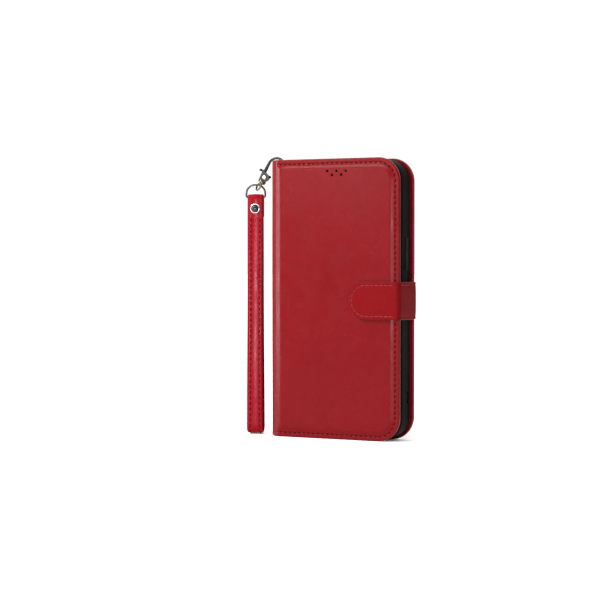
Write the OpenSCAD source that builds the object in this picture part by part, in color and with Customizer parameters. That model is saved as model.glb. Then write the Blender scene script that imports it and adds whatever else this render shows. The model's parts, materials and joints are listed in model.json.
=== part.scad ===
// Wallet case for a large phone: a folding leather cover with card pockets and a magnetic clasp,
// a soft shell that grips the phone, and a wrist strap clipped through the spine.
// Frame: X to the opening edge, Y to the back, Z up. The origin is on the bottom edge of the rear
// cover, at mid width and mid thickness. Millimetres.

/* [Cover] */
// Height of both covers
cover_h = 167; // [160:1:175]
// Overall width, from the outside of the spine to the opening edge
cover_w = 90; // [88:1:94]
// Closed thickness over the stitched borders
case_t = 20.4; // [20:0.2:22]
// Corner radius at the opening edge
corner_r = 14; // [8:1:18]
// Outer leather thickness
leather_t = 0.9; // [0.7:0.1:1]
// Stiffening board thickness
board_t = 0.8; // [0.6:0.1:0.9]
// Lining thickness
lining_t = 0.6; // [0.4:0.1:0.7]
// Foam under the raised front panel
foam_t = 0.6; // [0.3:0.1:0.8]
// Distance of the stitching from the edge
stitch_inset = 2.8; // [2:0.1:3.5]
// Stitch pitch
stitch_pitch = 3.2; // [2.8:0.1:4]

/* [Phone] */
// Width of the phone that the shell holds
phone_w = 78.6; // [76:0.2:79]
// Height of the phone
phone_h = 161.6; // [158:0.2:162]
// Thickness of the phone
phone_t = 8.25; // [7.5:0.05:8.6]

/* [Shell] */
// Wall thickness of the soft shell
shell_t = 1.5; // [1.2:0.1:1.6]
// How far the covers reach past the shell at the opening edge
shell_overhang = 1.8; // [1.5:0.1:2.5]
// Radius of each lanyard hole
lanyard_r = 0.9; // [0.7:0.1:1]
// Travel of a button pad
button_travel = 0.4; // [0.2:0.1:0.5]

/* [Clasp] */
// Width of the clasp strap
clasp_w = 22; // [18:1:26]
// How far the tab reaches over the front cover
clasp_reach = 32; // [26:1:36]
// Thickness of one clasp layer
clasp_layer_t = 0.8; // [0.6:0.1:0.8]

/* [Wrist strap] */
// Width of the wrist strap
strap_w = 9.8; // [8:0.2:10]
// Thickness of the strap leather
strap_t = 1.3; // [1:0.1:1.4]
// Turn of the ring and the strap about the vertical
strap_turn = 20; // [0:5:30]
// Half the gap of the loop at its widest
loop_r = 3.2; // [3:0.1:3.4]
// Radius of the loop of the hook
hook_r = 6.15; // [5.8:0.05:6.3]
// Lean of the hook's own axis from the vertical
hook_lean = 41; // [38:1:44]

/* [Hidden] */
$fn = 64;
eps = 0.01;
fit_gap = 0.15;
run_gap = 0.07;

cover_t = leather_t + board_t + lining_t;
edge_x = cover_w / 2;
spine_x = -cover_w / 2;
front_y = -(case_t - cover_t);
mid_y = front_y / 2;
mid_z = cover_h / 2;
spine_t = 2.2;
fold_x = spine_x + spine_t / 2;
fold_clear = cover_t / 2 + 0.25;
cover_x0 = fold_x + fold_clear;
spine_reach = -mid_y - fold_clear;
flat_x0 = -35;

rear_out = cover_t / 2;
rear_in = -cover_t / 2;
front_out = front_y - cover_t / 2;
front_in = front_y + cover_t / 2;
panel_out = front_out - foam_t;
panel_inset = 6;
channel_w = 0.9;
channel_d = 0.25;
border_start = -33;

shell_x1 = edge_x - shell_overhang;
shell_x0 = shell_x1 - phone_w - 2 * shell_t;
shell_z0 = (cover_h - phone_h) / 2 - shell_t;
shell_z1 = cover_h - shell_z0;
shell_back = 1.3;
shell_lip_t = 1.15;
shell_lip = 0.9;
shell_r = 12;
shell_y1 = rear_in;
shell_y0 = shell_y1 - shell_back - phone_t - shell_lip_t;
bay_y1 = shell_y1 - shell_back;
bay_y0 = bay_y1 - phone_t;
phone_x = (shell_x0 + shell_x1) / 2;
phone_y = (bay_y0 + bay_y1) / 2;
button_z = 110.2;
button_len = 19.5;
button_wide = 3.2;
button_out = 0.8;
volume_len = 11;
volume_z = [122, 106];
lanyard_y = phone_y + 1.9;
lanyard_z = [22.7, 28.3];

window_w = 36;
window_h = 38;
window_r = 8;
window_x = 20;
window_z = 141;
window_rim = 1.2;

pocket_t = 0.5;
pocket_gap = 0.2;
pocket_step = pocket_t + pocket_gap;
pocket_x1 = 38;
pocket_rim = 2;
keeper_r = 7;
keeper_x = 24;

speaker_x = 3.6;
speaker_z = 158.4;
speaker_pitch = 3.13;
speaker_zig = 1.15;
speaker_r = 0.85;

clasp_z = 82.7;
bridge_t = 1.4;
bridge_x0 = edge_x + 0.2;
bridge_x = bridge_x0 + bridge_t / 2;
tab_t = 3 * clasp_layer_t;
tab_y1 = panel_out - fit_gap;
tab_y0 = tab_y1 - tab_t;
tab_y = (tab_y0 + tab_y1) / 2;
tab_x1 = edge_x;
tab_x0 = tab_x1 - clasp_reach;
bridge_y1 = -0.9;
bridge_y0 = tab_y + tab_t / 2 + fit_gap;
magnet_r = 6;
magnet_x = keeper_x;
clasp_inset = 1.9;

loop_z = 162.5;
hook_wire = 0.8;
spine_hole_r = 1.5;
spine_hole_z = loop_z - hook_r;
arm_angle = 149;
tip_angle = -116;
arm_len = 11.6;
arm_r = 0.95;
swivel_x = -54.6;
swivel_z = 154;
gate_x = -51.7;
gate_z = 157.1;
hub_r = 1.35;
hub_seat_r = 1.6;
lever_r = 0.75;
lever_line = [[0, 0.4], [-1.6, 3.2], [-3.8, 4.7]];
tongue_outline = [[0, -1.2], [3.95, -0.6], [3.95, 0.7], [0, 1.3]];
cheek_outline = [[-4.4, -1.9], [-3, -2.9], [-0.4, -3.3], [2.4, -2.2], [3.4, -0.9], [3.3, 0.8],
    [2.1, 1.8], [-0.6, 4.6], [-1.6, 3.4]];
rivet_r = 0.7;
cheek_y0 = -1.7;
cheek_y1 = -0.75;
gate_t = 0.6;
lever_y0 = 1.05;
lever_y1 = 1.7;
housing_r = 2.2;
post_r = 0.8;
eye_r = 2.4;
eye_wire = 0.55;
eye_s = -3.2;
eye_turn = -40;

ring_x = -58.7;
ring_wire = 0.6;
ring_top_z = 152.6;
ring_half = 5.85;
ring_h = 7.6;
ring_bar_z = ring_top_z - ring_h;
ring_foot_r = 1;
ring_shoulder_r = 5.2;
fold_in = ring_wire + fit_gap;
fold_out = fold_in + strap_t;
strap_low = 0.3;
loop_low = strap_low + loop_r + strap_t;
tail_z = 133.1;
loop_top_z = 126;
rivet_z = 138.2;
strap_rivet_r = 1.2;

// ---------- helpers ----------

// Extrudes an XZ outline from y0 to y1.
module slab(y0, y1) {
    translate([0, y1, 0]) rotate([90, 0, 0]) linear_extrude(y1 - y0) children();
}

// Rectangle whose two corners on the +X side are rounded.
module round_right(x0, x1, z0, z1, r) {
    translate([x0, z0]) square([x1 - x0 - r, z1 - z0]);
    translate([x0, z0 + r]) square([x1 - x0, z1 - z0 - 2 * r]);
    for (z = [z0 + r, z1 - r]) translate([x1 - r, z]) circle(r);
}

// Rectangle with four rounded corners, centred.
module round_rect(w, h, r) {
    square([w - 2 * r, h], center = true);
    square([w, h - 2 * r], center = true);
    for (i = [-1, 1], j = [-1, 1]) translate([i * (w / 2 - r), j * (h / 2 - r)]) circle(r);
}

// Outline of a cover, drawn in by inset from its free edges.
module cover_outline(x0, inset) {
    round_right(x0, edge_x - inset, inset, cover_h - inset, corner_r - inset);
}

// Band that the stitching lies in, along the three free edges.
module channel_outline(x0) {
    difference() {
        cover_outline(x0, stitch_inset - channel_w / 2);
        cover_outline(x0 - eps, stitch_inset + channel_w / 2);
    }
}

// Outline of the camera window, grown by extra.
module window_outline(extra) {
    translate([window_x, window_z])
        round_rect(window_w + 2 * extra, window_h + 2 * extra, window_r + extra);
}

// Place and direction of a stitch after a run of s along the top, free and bottom edges.
function border_point(s, x0, x1, z0, z1, r) =
    let (top = x1 - r - x0, arc = PI / 2 * r, side = z1 - z0 - 2 * r)
    s < top ? [x0 + s, z1, 0] :
    s < top + arc ?
        let (a = 90 - (s - top) / r * 180 / PI)
        [x1 - r + r * cos(a), z1 - r + r * sin(a), a - 90] :
    s < top + arc + side ? [x1, z1 - r - (s - top - arc), -90] :
    s < top + 2 * arc + side ?
        let (a = -(s - top - arc - side) / r * 180 / PI)
        [x1 - r + r * cos(a), z0 + r + r * sin(a), a - 90] :
    [x1 - r - (s - top - 2 * arc - side), z0, -180];

function border_len(x0, x1, z0, z1, r) = 2 * (x1 - r - x0) + PI * r + z1 - z0 - 2 * r;

// Row of slanted stitches round the free edges of an outline, from y0 to y1.
module border_stitches(x0, x1, z0, z1, r, y0, y1, pitch, len, wide, slant) {
    run = border_len(x0, x1, z0, z1, r);
    count = floor(run / pitch);
    for (i = [0:count - 1]) {
        p = border_point((i + 0.5) * run / count, x0, x1, z0, z1, r);
        translate([p[0], y0, p[1]]) rotate([0, -p[2] - slant, 0])
            translate([-len / 2, 0, -wide / 2]) cube([len, y1 - y0, wide]);
    }
}

// Box from two corners.
module box(a, b) {
    translate(a) cube(b - a);
}

// ---------- rear cover and shell ----------

module rear_cover_leather() {
    color("firebrick") difference() {
        slab(rear_out - leather_t, rear_out) difference() {
            cover_outline(cover_x0, 0);
            window_outline(window_rim + fit_gap);
        }
        slab(rear_out - channel_d, rear_out + eps) channel_outline(border_start);
    }
}

module rear_board() {
    color("tan") slab(rear_in + lining_t, rear_out - leather_t) difference() {
        cover_outline(flat_x0, 1);
        window_outline(window_rim + fit_gap);
    }
}

module rear_lining() {
    color("maroon") slab(rear_in, rear_in + lining_t) difference() {
        cover_outline(cover_x0, 0.2);
        window_outline(window_rim + fit_gap);
    }
}

module rear_stitching() {
    color("darkred") border_stitches(border_start, edge_x - stitch_inset, stitch_inset,
        cover_h - stitch_inset, corner_r - stitch_inset, rear_out - channel_d,
        rear_out - 0.02, stitch_pitch, 2.2, 0.5, 12);
}

module shell_outline(inset) {
    translate([phone_x, mid_z])
        round_rect(shell_x1 - shell_x0 - 2 * inset, shell_z1 - shell_z0 - 2 * inset,
            shell_r - inset);
}

// Slot through a side wall for a button pad, centred on height z.
module button_slot(x, z, len) {
    box([x - shell_t, phone_y - button_wide / 2 - fit_gap, z - len / 2 - fit_gap],
        [x + shell_t, phone_y + button_wide / 2 + fit_gap, z + len / 2 + fit_gap]);
}

module phone_shell() {
    port_w = 13;
    port_d = 5.6;
    grille_w = 8;
    grille_d = 1.6;
    wall_x = shell_x1 - shell_t / 2;
    left_x = shell_x0 + shell_t / 2;
    color([0.08, 0.08, 0.09]) difference() {
        union() {
            slab(shell_y0, shell_y1) shell_outline(0);
            slab(shell_y1 - eps, rear_out) window_outline(window_rim);
        }
        slab(bay_y0, bay_y1) shell_outline(shell_t);
        slab(shell_y0 - eps, bay_y0 + eps) shell_outline(shell_t + shell_lip);
        slab(bay_y1 - eps, rear_out + eps) window_outline(0);
        button_slot(wall_x, button_z, button_len);
        for (z = volume_z) button_slot(left_x, z, volume_len);
        for (z = lanyard_z) translate([shell_x1 - shell_t - eps, lanyard_y, z])
            rotate([0, 90, 0]) cylinder(r = lanyard_r, h = shell_t + 2 * eps);
        box([shell_x1 - 0.5, lanyard_y - lanyard_r / 2, lanyard_z[0]],
            [shell_x1 + eps, lanyard_y + lanyard_r / 2, lanyard_z[1]]);
        box([phone_x - port_w / 2, phone_y - port_d / 2, shell_z0 - eps],
            [phone_x + port_w / 2, phone_y + port_d / 2, shell_z0 + shell_t + eps]);
        for (side = [-1, 1]) translate([phone_x + side * 18, phone_y, shell_z0 - eps])
            linear_extrude(shell_t + 2 * eps)
                round_rect(grille_w, grille_d, grille_d / 2 - eps);
    }
}

// Button pad: a plug in the wall slot with a raised bar outside.
// side is 1 on the opening edge and -1 beside the spine.
module button_pad(side, z, len) {
    inner = side > 0 ? shell_x1 - shell_t + button_travel + 0.1 : shell_x0 - button_out;
    outer = side > 0 ? shell_x1 + button_out : shell_x0 + shell_t - button_travel - 0.1;
    box([inner, phone_y - button_wide / 2, z - len / 2],
        [outer, phone_y + button_wide / 2, z + len / 2]);
}

module side_button_pad() {
    color([0.1, 0.1, 0.11]) button_pad(1, button_z, button_len);
}

module volume_up_pad() {
    color([0.1, 0.1, 0.11]) button_pad(-1, volume_z[0], volume_len);
}

module volume_down_pad() {
    color([0.1, 0.1, 0.11]) button_pad(-1, volume_z[1], volume_len);
}

// ---------- spine ----------

// One layer of the spine, with the hole that the hook passes through.
module spine_layer(x0, x1, reach, inset) {
    difference() {
        box([x0, mid_y - reach, inset], [x1, mid_y + reach, cover_h - inset]);
        translate([x0 - eps, mid_y, spine_hole_z]) rotate([0, 90, 0])
            cylinder(r = spine_hole_r, h = x1 - x0 + 2 * eps);
    }
}

module spine_leather() {
    color("firebrick") spine_layer(spine_x, spine_x + leather_t, spine_reach, 0);
}

module spine_board() {
    board_reach = 3;
    color("tan") spine_layer(spine_x + leather_t, spine_x + spine_t - lining_t, board_reach, 1);
}

module spine_lining() {
    color("maroon") spine_layer(spine_x + spine_t - lining_t, spine_x + spine_t, spine_reach, 0);
}

// Leather that turns a corner of the case, as a quarter round between two plates.
// side is 1 at the rear cover and -1 at the front cover.
module fold_strip(y, side) {
    out = cover_t / 2;
    color("firebrick") intersection() {
        box([spine_x, min(y, y + side * out) - 0.05, 0],
            [cover_x0 - 0.02, max(y, y + side * out), cover_h]);
        translate([cover_x0, y - side * fold_clear, 0]) difference() {
            cylinder(r = cover_x0 - spine_x, h = cover_h);
            translate([0, 0, -eps]) cylinder(r = cover_x0 - spine_x - leather_t, h = cover_h + 1);
        }
    }
}

module rear_fold_leather() {
    fold_strip(0, 1);
}

module front_fold_leather() {
    fold_strip(front_y, -1);
}

// ---------- front cover ----------

module speaker_holes(y0, y1) {
    for (i = [-2:2]) translate([speaker_x + i * speaker_pitch, y0 - eps,
        speaker_z + (i % 2 == 0 ? speaker_zig : -speaker_zig)])
        rotate([-90, 0, 0]) cylinder(r = speaker_r, h = y1 - y0 + 2 * eps);
}

module front_cover_leather() {
    under_panel = front_out + leather_t;
    color("firebrick") difference() {
        union() {
            slab(front_out, under_panel) cover_outline(cover_x0, 0);
            slab(panel_out, front_out + eps) cover_outline(flat_x0, panel_inset);
        }
        slab(under_panel - foam_t, under_panel + eps)
            cover_outline(flat_x0 + leather_t, panel_inset + leather_t);
        slab(front_out - eps, front_out + channel_d) channel_outline(border_start);
        speaker_holes(panel_out, under_panel);
    }
}

module front_foam() {
    top = front_out + leather_t;
    color("dimgray") difference() {
        slab(top - foam_t, top) cover_outline(flat_x0 + leather_t, panel_inset + leather_t);
        speaker_holes(top - foam_t, top);
    }
}

module front_board() {
    color("tan") difference() {
        slab(front_in - lining_t - board_t, front_in - lining_t) cover_outline(flat_x0, 1);
        translate([keeper_x, front_in - lining_t - board_t - eps, clasp_z]) rotate([-90, 0, 0])
            cylinder(r = keeper_r + 0.1, h = board_t + 2 * eps);
        speaker_holes(front_in - lining_t - board_t, front_in - lining_t);
    }
}

module keeper_plate() {
    color("silver") translate([keeper_x, front_in - lining_t - board_t, clasp_z])
        rotate([-90, 0, 0]) cylinder(r = keeper_r, h = board_t - 0.05);
}

module front_lining() {
    color("maroon") difference() {
        slab(front_in - lining_t, front_in) cover_outline(cover_x0, 0.2);
        speaker_holes(front_in - lining_t, front_in);
    }
}

module front_stitching() {
    color("darkred") border_stitches(border_start, edge_x - stitch_inset, stitch_inset,
        cover_h - stitch_inset, corner_r - stitch_inset, front_out + 0.02,
        front_out + channel_d, stitch_pitch, 2.2, 0.5, 12);
}

// ---------- card pockets, inside the front cover ----------

// Pocket sheet number level, open on the side of the spine, closed by a rim on the other three.
module pocket(level, x0, z0, z1) {
    y0 = front_in + level * pocket_step;
    round = 4;
    slab(y0 + pocket_gap, y0 + pocket_step) round_right(x0, pocket_x1, z0, z1, round);
    slab(y0, y0 + pocket_gap + eps) difference() {
        round_right(x0, pocket_x1, z0, z1, round);
        round_right(x0 - eps, pocket_x1 - pocket_rim, z0 + pocket_rim, z1 - pocket_rim,
            round - pocket_rim);
    }
}

module cash_pocket() {
    color("brown") pocket(0, -32, 8, 152);
}

module card_slot_1() {
    color("brown") pocket(1, -24, 30, 126);
}

module card_slot_2() {
    color("brown") pocket(2, -15, 30, 126);
}

module card_slot_3() {
    color("brown") pocket(3, -6, 30, 126);
}

module pocket_stitching() {
    y0 = front_in + 4 * pocket_step;
    color("darkred") border_stitches(-4, pocket_x1 - 1, 31, 125, 3, y0, y0 + 0.15, 3.4, 2, 0.4, 0);
}

// ---------- clasp ----------

module tab_outline(inset) {
    r = clasp_w / 2 - inset;
    translate([tab_x0 + clasp_w / 2, clasp_z]) circle(r);
    translate([tab_x0 + clasp_w / 2, clasp_z - r])
        square([tab_x1 - tab_x0 - clasp_w / 2 - min(inset, 0.5), 2 * r]);
}

module clasp_tab_leather() {
    color("firebrick") slab(tab_y0, tab_y0 + clasp_layer_t) tab_outline(0);
}

module clasp_tab_board() {
    color("tan") slab(tab_y0 + clasp_layer_t, tab_y1 - clasp_layer_t) difference() {
        tab_outline(1);
        translate([magnet_x, clasp_z]) circle(magnet_r + 0.1);
    }
}

module clasp_tab_lining() {
    color("maroon") slab(tab_y1 - clasp_layer_t, tab_y1) tab_outline(0);
}

module clasp_magnet() {
    color("silver") slab(tab_y0 + clasp_layer_t, tab_y1 - clasp_layer_t - 0.02)
        translate([magnet_x, clasp_z]) circle(magnet_r);
}

module bridge_layer(x0, x1) {
    box([x0, bridge_y0, clasp_z - clasp_w / 2], [x1, bridge_y1, clasp_z + clasp_w / 2]);
}

module clasp_bridge_leather() {
    color("firebrick") bridge_layer(bridge_x, bridge_x0 + bridge_t);
}

module clasp_bridge_lining() {
    color("maroon") bridge_layer(bridge_x0, bridge_x);
}

// Leather round a bend of the clasp: a block with one corner rounded off.
module clasp_bend(x0, x1, y0, y1, side) {
    r = min(x1 - x0, y1 - y0);
    color("firebrick") translate([0, 0, clasp_z - clasp_w / 2]) linear_extrude(clasp_w)
        intersection() {
            translate([x0, y0]) square([x1 - x0, y1 - y0]);
            translate([x0, side > 0 ? y0 : y1]) circle(r);
        }
}

module clasp_root_fold() {
    clasp_bend(edge_x + 0.02, bridge_x0 + bridge_t, bridge_y1 + 0.02, rear_out, 1);
}

module clasp_corner_fold() {
    clasp_bend(tab_x1 + 0.02, bridge_x0 + bridge_t, tab_y0, bridge_y0 - 0.02, -1);
}

module clasp_stitching() {
    x1 = tab_x1 - 1;
    r = clasp_w / 2 - clasp_inset;
    run = 2 * (x1 - tab_x0 - clasp_w / 2) + PI * r;
    side = x1 - tab_x0 - clasp_w / 2;
    count = floor(run / 3.1);
    color("darkred") for (i = [0:count - 1]) {
        s = (i + 0.5) * run / count;
        a = (s - side) / r * 180 / PI;
        x = s < side ? x1 - s :
            s < side + PI * r ? tab_x0 + clasp_w / 2 - r * sin(a) :
            tab_x0 + clasp_w / 2 + s - side - PI * r;
        z = s < side ? r : s < side + PI * r ? r * cos(a) : -r;
        turn = s < side ? 0 : s < side + PI * r ? a : 180;
        translate([x, tab_y0 - 0.15, clasp_z + z]) rotate([0, -turn, 0])
            translate([-1, 0, -0.25]) cube([2, 0.15, 0.5]);
    }
}

// ---------- wrist strap ----------

// Turns a shape drawn about the hook's own axis into place: Z runs up the axis.
module on_hook_axis() {
    translate([swivel_x, mid_y, swivel_z]) rotate([0, hook_lean, 0]) children();
}

module hook_body() {
    arm_x = fold_x + hook_r * cos(arm_angle);
    arm_z = loop_z + hook_r * sin(arm_angle);
    color([0.35, 0.35, 0.37]) difference() {
        union() {
            translate([fold_x, mid_y, loop_z]) rotate([90, 0, 0]) rotate([0, 0, tip_angle])
                rotate_extrude(angle = arm_angle - tip_angle)
                    translate([hook_r, 0]) circle(hook_wire);
            translate([arm_x, mid_y, arm_z]) sphere(arm_r);
            translate([arm_x, mid_y, arm_z]) rotate([0, -arm_angle, 0])
                cylinder(r = arm_r, h = arm_len);
            slab(mid_y + cheek_y0, mid_y + cheek_y1) translate([gate_x, gate_z])
                polygon(cheek_outline);
            on_hook_axis() translate([0, 0, -0.2]) cylinder(r = housing_r, h = 2.8);
        }
        on_hook_axis() translate([0, 0, -1]) cylinder(r = post_r + run_gap, h = 3);
        on_hook_axis() translate([0, 0, 1.2]) cylinder(r = 1.6, h = 2);
        translate([gate_x, mid_y + cheek_y0 - eps, gate_z]) rotate([-90, 0, 0])
            cylinder(r = rivet_r, h = 1.2);
        slab(mid_y + cheek_y1, mid_y + lever_y1 + 1) translate([gate_x, gate_z])
            circle(hub_seat_r);
    }
}

// The gate: a tongue that closes the hook, and a cranked lever behind the arm that ends in a
// thumb piece.
module hook_gate() {
    thumb_reach = 1.4;
    color([0.3, 0.3, 0.32]) difference() {
        union() {
            slab(mid_y - gate_t, mid_y + lever_y1) translate([gate_x, gate_z]) circle(hub_r);
            slab(mid_y - gate_t, mid_y + gate_t) translate([gate_x, gate_z])
                polygon(tongue_outline);
            for (i = [0:len(lever_line) - 2])
                slab(mid_y + lever_y0, mid_y + lever_y1) translate([gate_x, gate_z]) hull() {
                    translate(lever_line[i]) circle(lever_r);
                    translate(lever_line[i + 1]) circle(lever_r);
                }
            slab(mid_y + lever_y0 - thumb_reach, mid_y + lever_y1)
                translate([gate_x, gate_z]) translate(lever_line[2]) circle(lever_r);
        }
        slab(mid_y - gate_t - eps, mid_y + lever_y1 + eps) translate([gate_x, gate_z])
            circle(rivet_r + run_gap);
    }
}

module gate_rivet() {
    color("silver") union() {
        slab(mid_y + cheek_y0, mid_y + lever_y1 + 0.1) translate([gate_x, gate_z])
            circle(rivet_r);
        slab(mid_y + cheek_y0 - 0.4, mid_y + cheek_y0) translate([gate_x, gate_z]) circle(1.3);
        slab(mid_y + lever_y1 + 0.1, mid_y + lever_y1 + 0.5) translate([gate_x, gate_z])
            circle(1.2);
    }
}

// Two turns of a fine torsion spring that lie beside the hub of the gate.
module gate_spring() {
    wire = 0.12;
    color("gray") for (i = [0:1])
        translate([gate_x, mid_y + lever_y1 + 0.3, gate_z]) rotate([90, 0, 0])
            translate([0, 0, -i * 0.3 + 0.15]) rotate_extrude()
                translate([1.5, 0]) circle(wire, $fn = 16);
}

module swivel_eye() {
    color([0.45, 0.4, 0.33]) on_hook_axis() union() {
        translate([0, 0, eye_s + eye_r]) cylinder(r = post_r, h = 2 - eye_s - eye_r);
        translate([0, 0, 1.3]) cylinder(r = 1.4, h = 0.8);
        translate([0, 0, -1.1]) cylinder(r = 1.3, h = 0.8);
        translate([0, 0, eye_s]) rotate([0, 0, eye_turn]) rotate([90, 0, 0])
            rotate_extrude() translate([eye_r, 0]) circle(eye_wire, $fn = 32);
    }
}

// Places the ring and the strap: local X along the ring's bar, local Y through it.
module in_strap_frame() {
    translate([ring_x, mid_y, 0]) rotate([0, 0, strap_turn]) children();
}

// Round bar from one point to another in the local XZ plane.
module bar(x0, z0, x1, z1, r) {
    len = norm([x1 - x0, z1 - z0]);
    translate([x0, 0, z0]) rotate([0, atan2(x1 - x0, z1 - z0), 0]) cylinder(r = r, h = len);
}

// Arc of round wire in the local XZ plane, from angle a0 to a1.
module wire_arc(x, z, radius, a0, a1, r) {
    translate([x, 0, z]) rotate([90, 0, 0]) rotate([0, 0, a0])
        rotate_extrude(angle = a1 - a0) translate([radius, 0]) circle(r, $fn = 32);
}

module d_ring() {
    foot_x = ring_half - ring_foot_r;
    shoulder_x = ring_half - ring_shoulder_r;
    shoulder_z = ring_top_z - ring_shoulder_r;
    color("silver") in_strap_frame() union() {
        bar(-foot_x, ring_bar_z, foot_x, ring_bar_z, ring_wire);
        bar(-shoulder_x, ring_top_z, shoulder_x, ring_top_z, ring_wire);
        for (side = [-1, 1]) {
            bar(side * ring_half, ring_bar_z + ring_foot_r, side * ring_half, shoulder_z,
                ring_wire);
            wire_arc(side * foot_x, ring_bar_z + ring_foot_r, ring_foot_r,
                side > 0 ? -90 : 180, side > 0 ? 0 : 270, ring_wire);
            wire_arc(side * shoulder_x, shoulder_z, ring_shoulder_r,
                side > 0 ? 0 : 90, side > 0 ? 90 : 180, ring_wire);
        }
    }
}

// Side view of the strap, Y across the thickness and Z up.
module strap_profile() {
    back = fold_out - strap_t - 0.1;
    difference() {
        union() {
            translate([0, ring_bar_z]) circle(fold_out);
            translate([-fold_out, tail_z]) square([2 * fold_out, ring_bar_z - tail_z]);
            hull() {
                translate([-fold_out, tail_z - eps]) square([fold_out + back, 2 * eps]);
                translate([-0.3, loop_low]) circle(loop_r + strap_t);
            }
        }
        translate([0, ring_bar_z]) circle(fold_in);
        hull() {
            translate([-0.7, loop_top_z]) circle(0.05, $fn = 16);
            translate([-0.3, loop_low]) circle(loop_r);
        }
    }
}

module strap_leather() {
    color([0.75, 0.05, 0.12]) in_strap_frame() difference() {
        translate([-strap_w / 2, 0, 0]) rotate([90, 0, 90]) linear_extrude(strap_w)
            strap_profile();
        translate([0, -2 * fold_out, rivet_z]) rotate([-90, 0, 0])
            cylinder(r = strap_rivet_r, h = 4 * fold_out);
    }
}

// Two rows of stitches on the front of the strap, following its slope.
module strap_stitching() {
    pitch = 3.3;
    low = 8;
    slope = (loop_r + strap_t + 0.3 - fold_out) / (tail_z - loop_low);
    count = floor((tail_z - low) / pitch);
    color("darkred") in_strap_frame() for (side = [-1, 1], i = [0:count - 1]) {
        z = low + (i + 0.5) * pitch;
        y = -fold_out - slope * (tail_z - z);
        translate([side * (strap_w / 2 - 1.4) - 0.25, y - 0.2, z - 1.1]) cube([0.5, 0.15, 2.2]);
    }
}

module strap_rivet_cap() {
    color([0.1, 0.1, 0.1]) in_strap_frame() translate([0, -fold_out - 0.3, rivet_z])
        intersection() {
            sphere(2.1);
            translate([-3, -1.2, -3]) cube([6, 1.2, 6]);
        }
}

module strap_rivet_rim() {
    color("silver") in_strap_frame() translate([0, -fold_out, rivet_z]) rotate([90, 0, 0])
        difference() {
            cylinder(r = 3, h = 0.6);
            translate([0, 0, 0.3]) cylinder(r = 2.2, h = 1);
        }
}

module strap_rivet_post() {
    color("silver") in_strap_frame() translate([0, fold_out, rivet_z]) rotate([90, 0, 0]) {
        cylinder(r = strap_rivet_r - 0.05, h = 2 * fold_out);
        translate([0, 0, -0.5]) cylinder(r = 2.8, h = 0.5);
    }
}

rear_cover_leather();
rear_board();
rear_lining();
rear_stitching();
phone_shell();
side_button_pad();
volume_up_pad();
volume_down_pad();
spine_leather();
spine_board();
spine_lining();
rear_fold_leather();
front_fold_leather();
front_cover_leather();
front_foam();
front_board();
front_lining();
front_stitching();
cash_pocket();
card_slot_1();
card_slot_2();
card_slot_3();
pocket_stitching();
keeper_plate();
clasp_root_fold();
clasp_bridge_leather();
clasp_bridge_lining();
clasp_corner_fold();
clasp_tab_leather();
clasp_tab_board();
clasp_tab_lining();
clasp_magnet();
clasp_stitching();
hook_body();
hook_gate();
gate_rivet();
gate_spring();
swivel_eye();
d_ring();
strap_leather();
strap_stitching();
strap_rivet_cap();
strap_rivet_rim();
strap_rivet_post();
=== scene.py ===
"""Visual model of a folding phone wallet case with a wrist strap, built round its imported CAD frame."""
import json
import math
import random

import bmesh
import bpy
import numpy as np
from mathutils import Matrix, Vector

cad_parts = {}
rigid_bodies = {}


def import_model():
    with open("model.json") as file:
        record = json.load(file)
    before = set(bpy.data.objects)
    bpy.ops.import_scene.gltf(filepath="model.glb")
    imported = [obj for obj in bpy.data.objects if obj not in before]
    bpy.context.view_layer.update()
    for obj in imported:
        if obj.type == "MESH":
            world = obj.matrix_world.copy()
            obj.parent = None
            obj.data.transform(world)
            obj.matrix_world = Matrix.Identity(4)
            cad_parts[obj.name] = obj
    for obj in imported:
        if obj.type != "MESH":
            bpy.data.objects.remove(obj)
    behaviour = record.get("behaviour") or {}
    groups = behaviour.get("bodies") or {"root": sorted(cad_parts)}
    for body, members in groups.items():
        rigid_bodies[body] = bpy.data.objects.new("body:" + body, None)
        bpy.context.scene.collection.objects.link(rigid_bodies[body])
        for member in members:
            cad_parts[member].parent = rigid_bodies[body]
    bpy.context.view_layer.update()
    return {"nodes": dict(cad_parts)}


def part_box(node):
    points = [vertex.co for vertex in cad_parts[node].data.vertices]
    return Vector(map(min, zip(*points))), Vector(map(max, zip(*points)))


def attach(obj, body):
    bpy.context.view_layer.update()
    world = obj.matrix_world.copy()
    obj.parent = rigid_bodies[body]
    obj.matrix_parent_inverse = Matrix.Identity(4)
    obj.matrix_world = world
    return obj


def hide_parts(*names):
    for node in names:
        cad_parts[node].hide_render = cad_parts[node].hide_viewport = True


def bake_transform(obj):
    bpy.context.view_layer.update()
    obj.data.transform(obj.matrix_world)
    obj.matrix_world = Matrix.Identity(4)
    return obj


for old in list(bpy.data.objects):
    bpy.data.objects.remove(old)
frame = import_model()
RNG = random.Random(7)
MM = 0.001

# ---------- sizes in millimetres, as in the CAD ----------


def box_mm(node):
    low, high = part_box(node)
    return np.array(low) / MM, np.array(high) / MM


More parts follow.
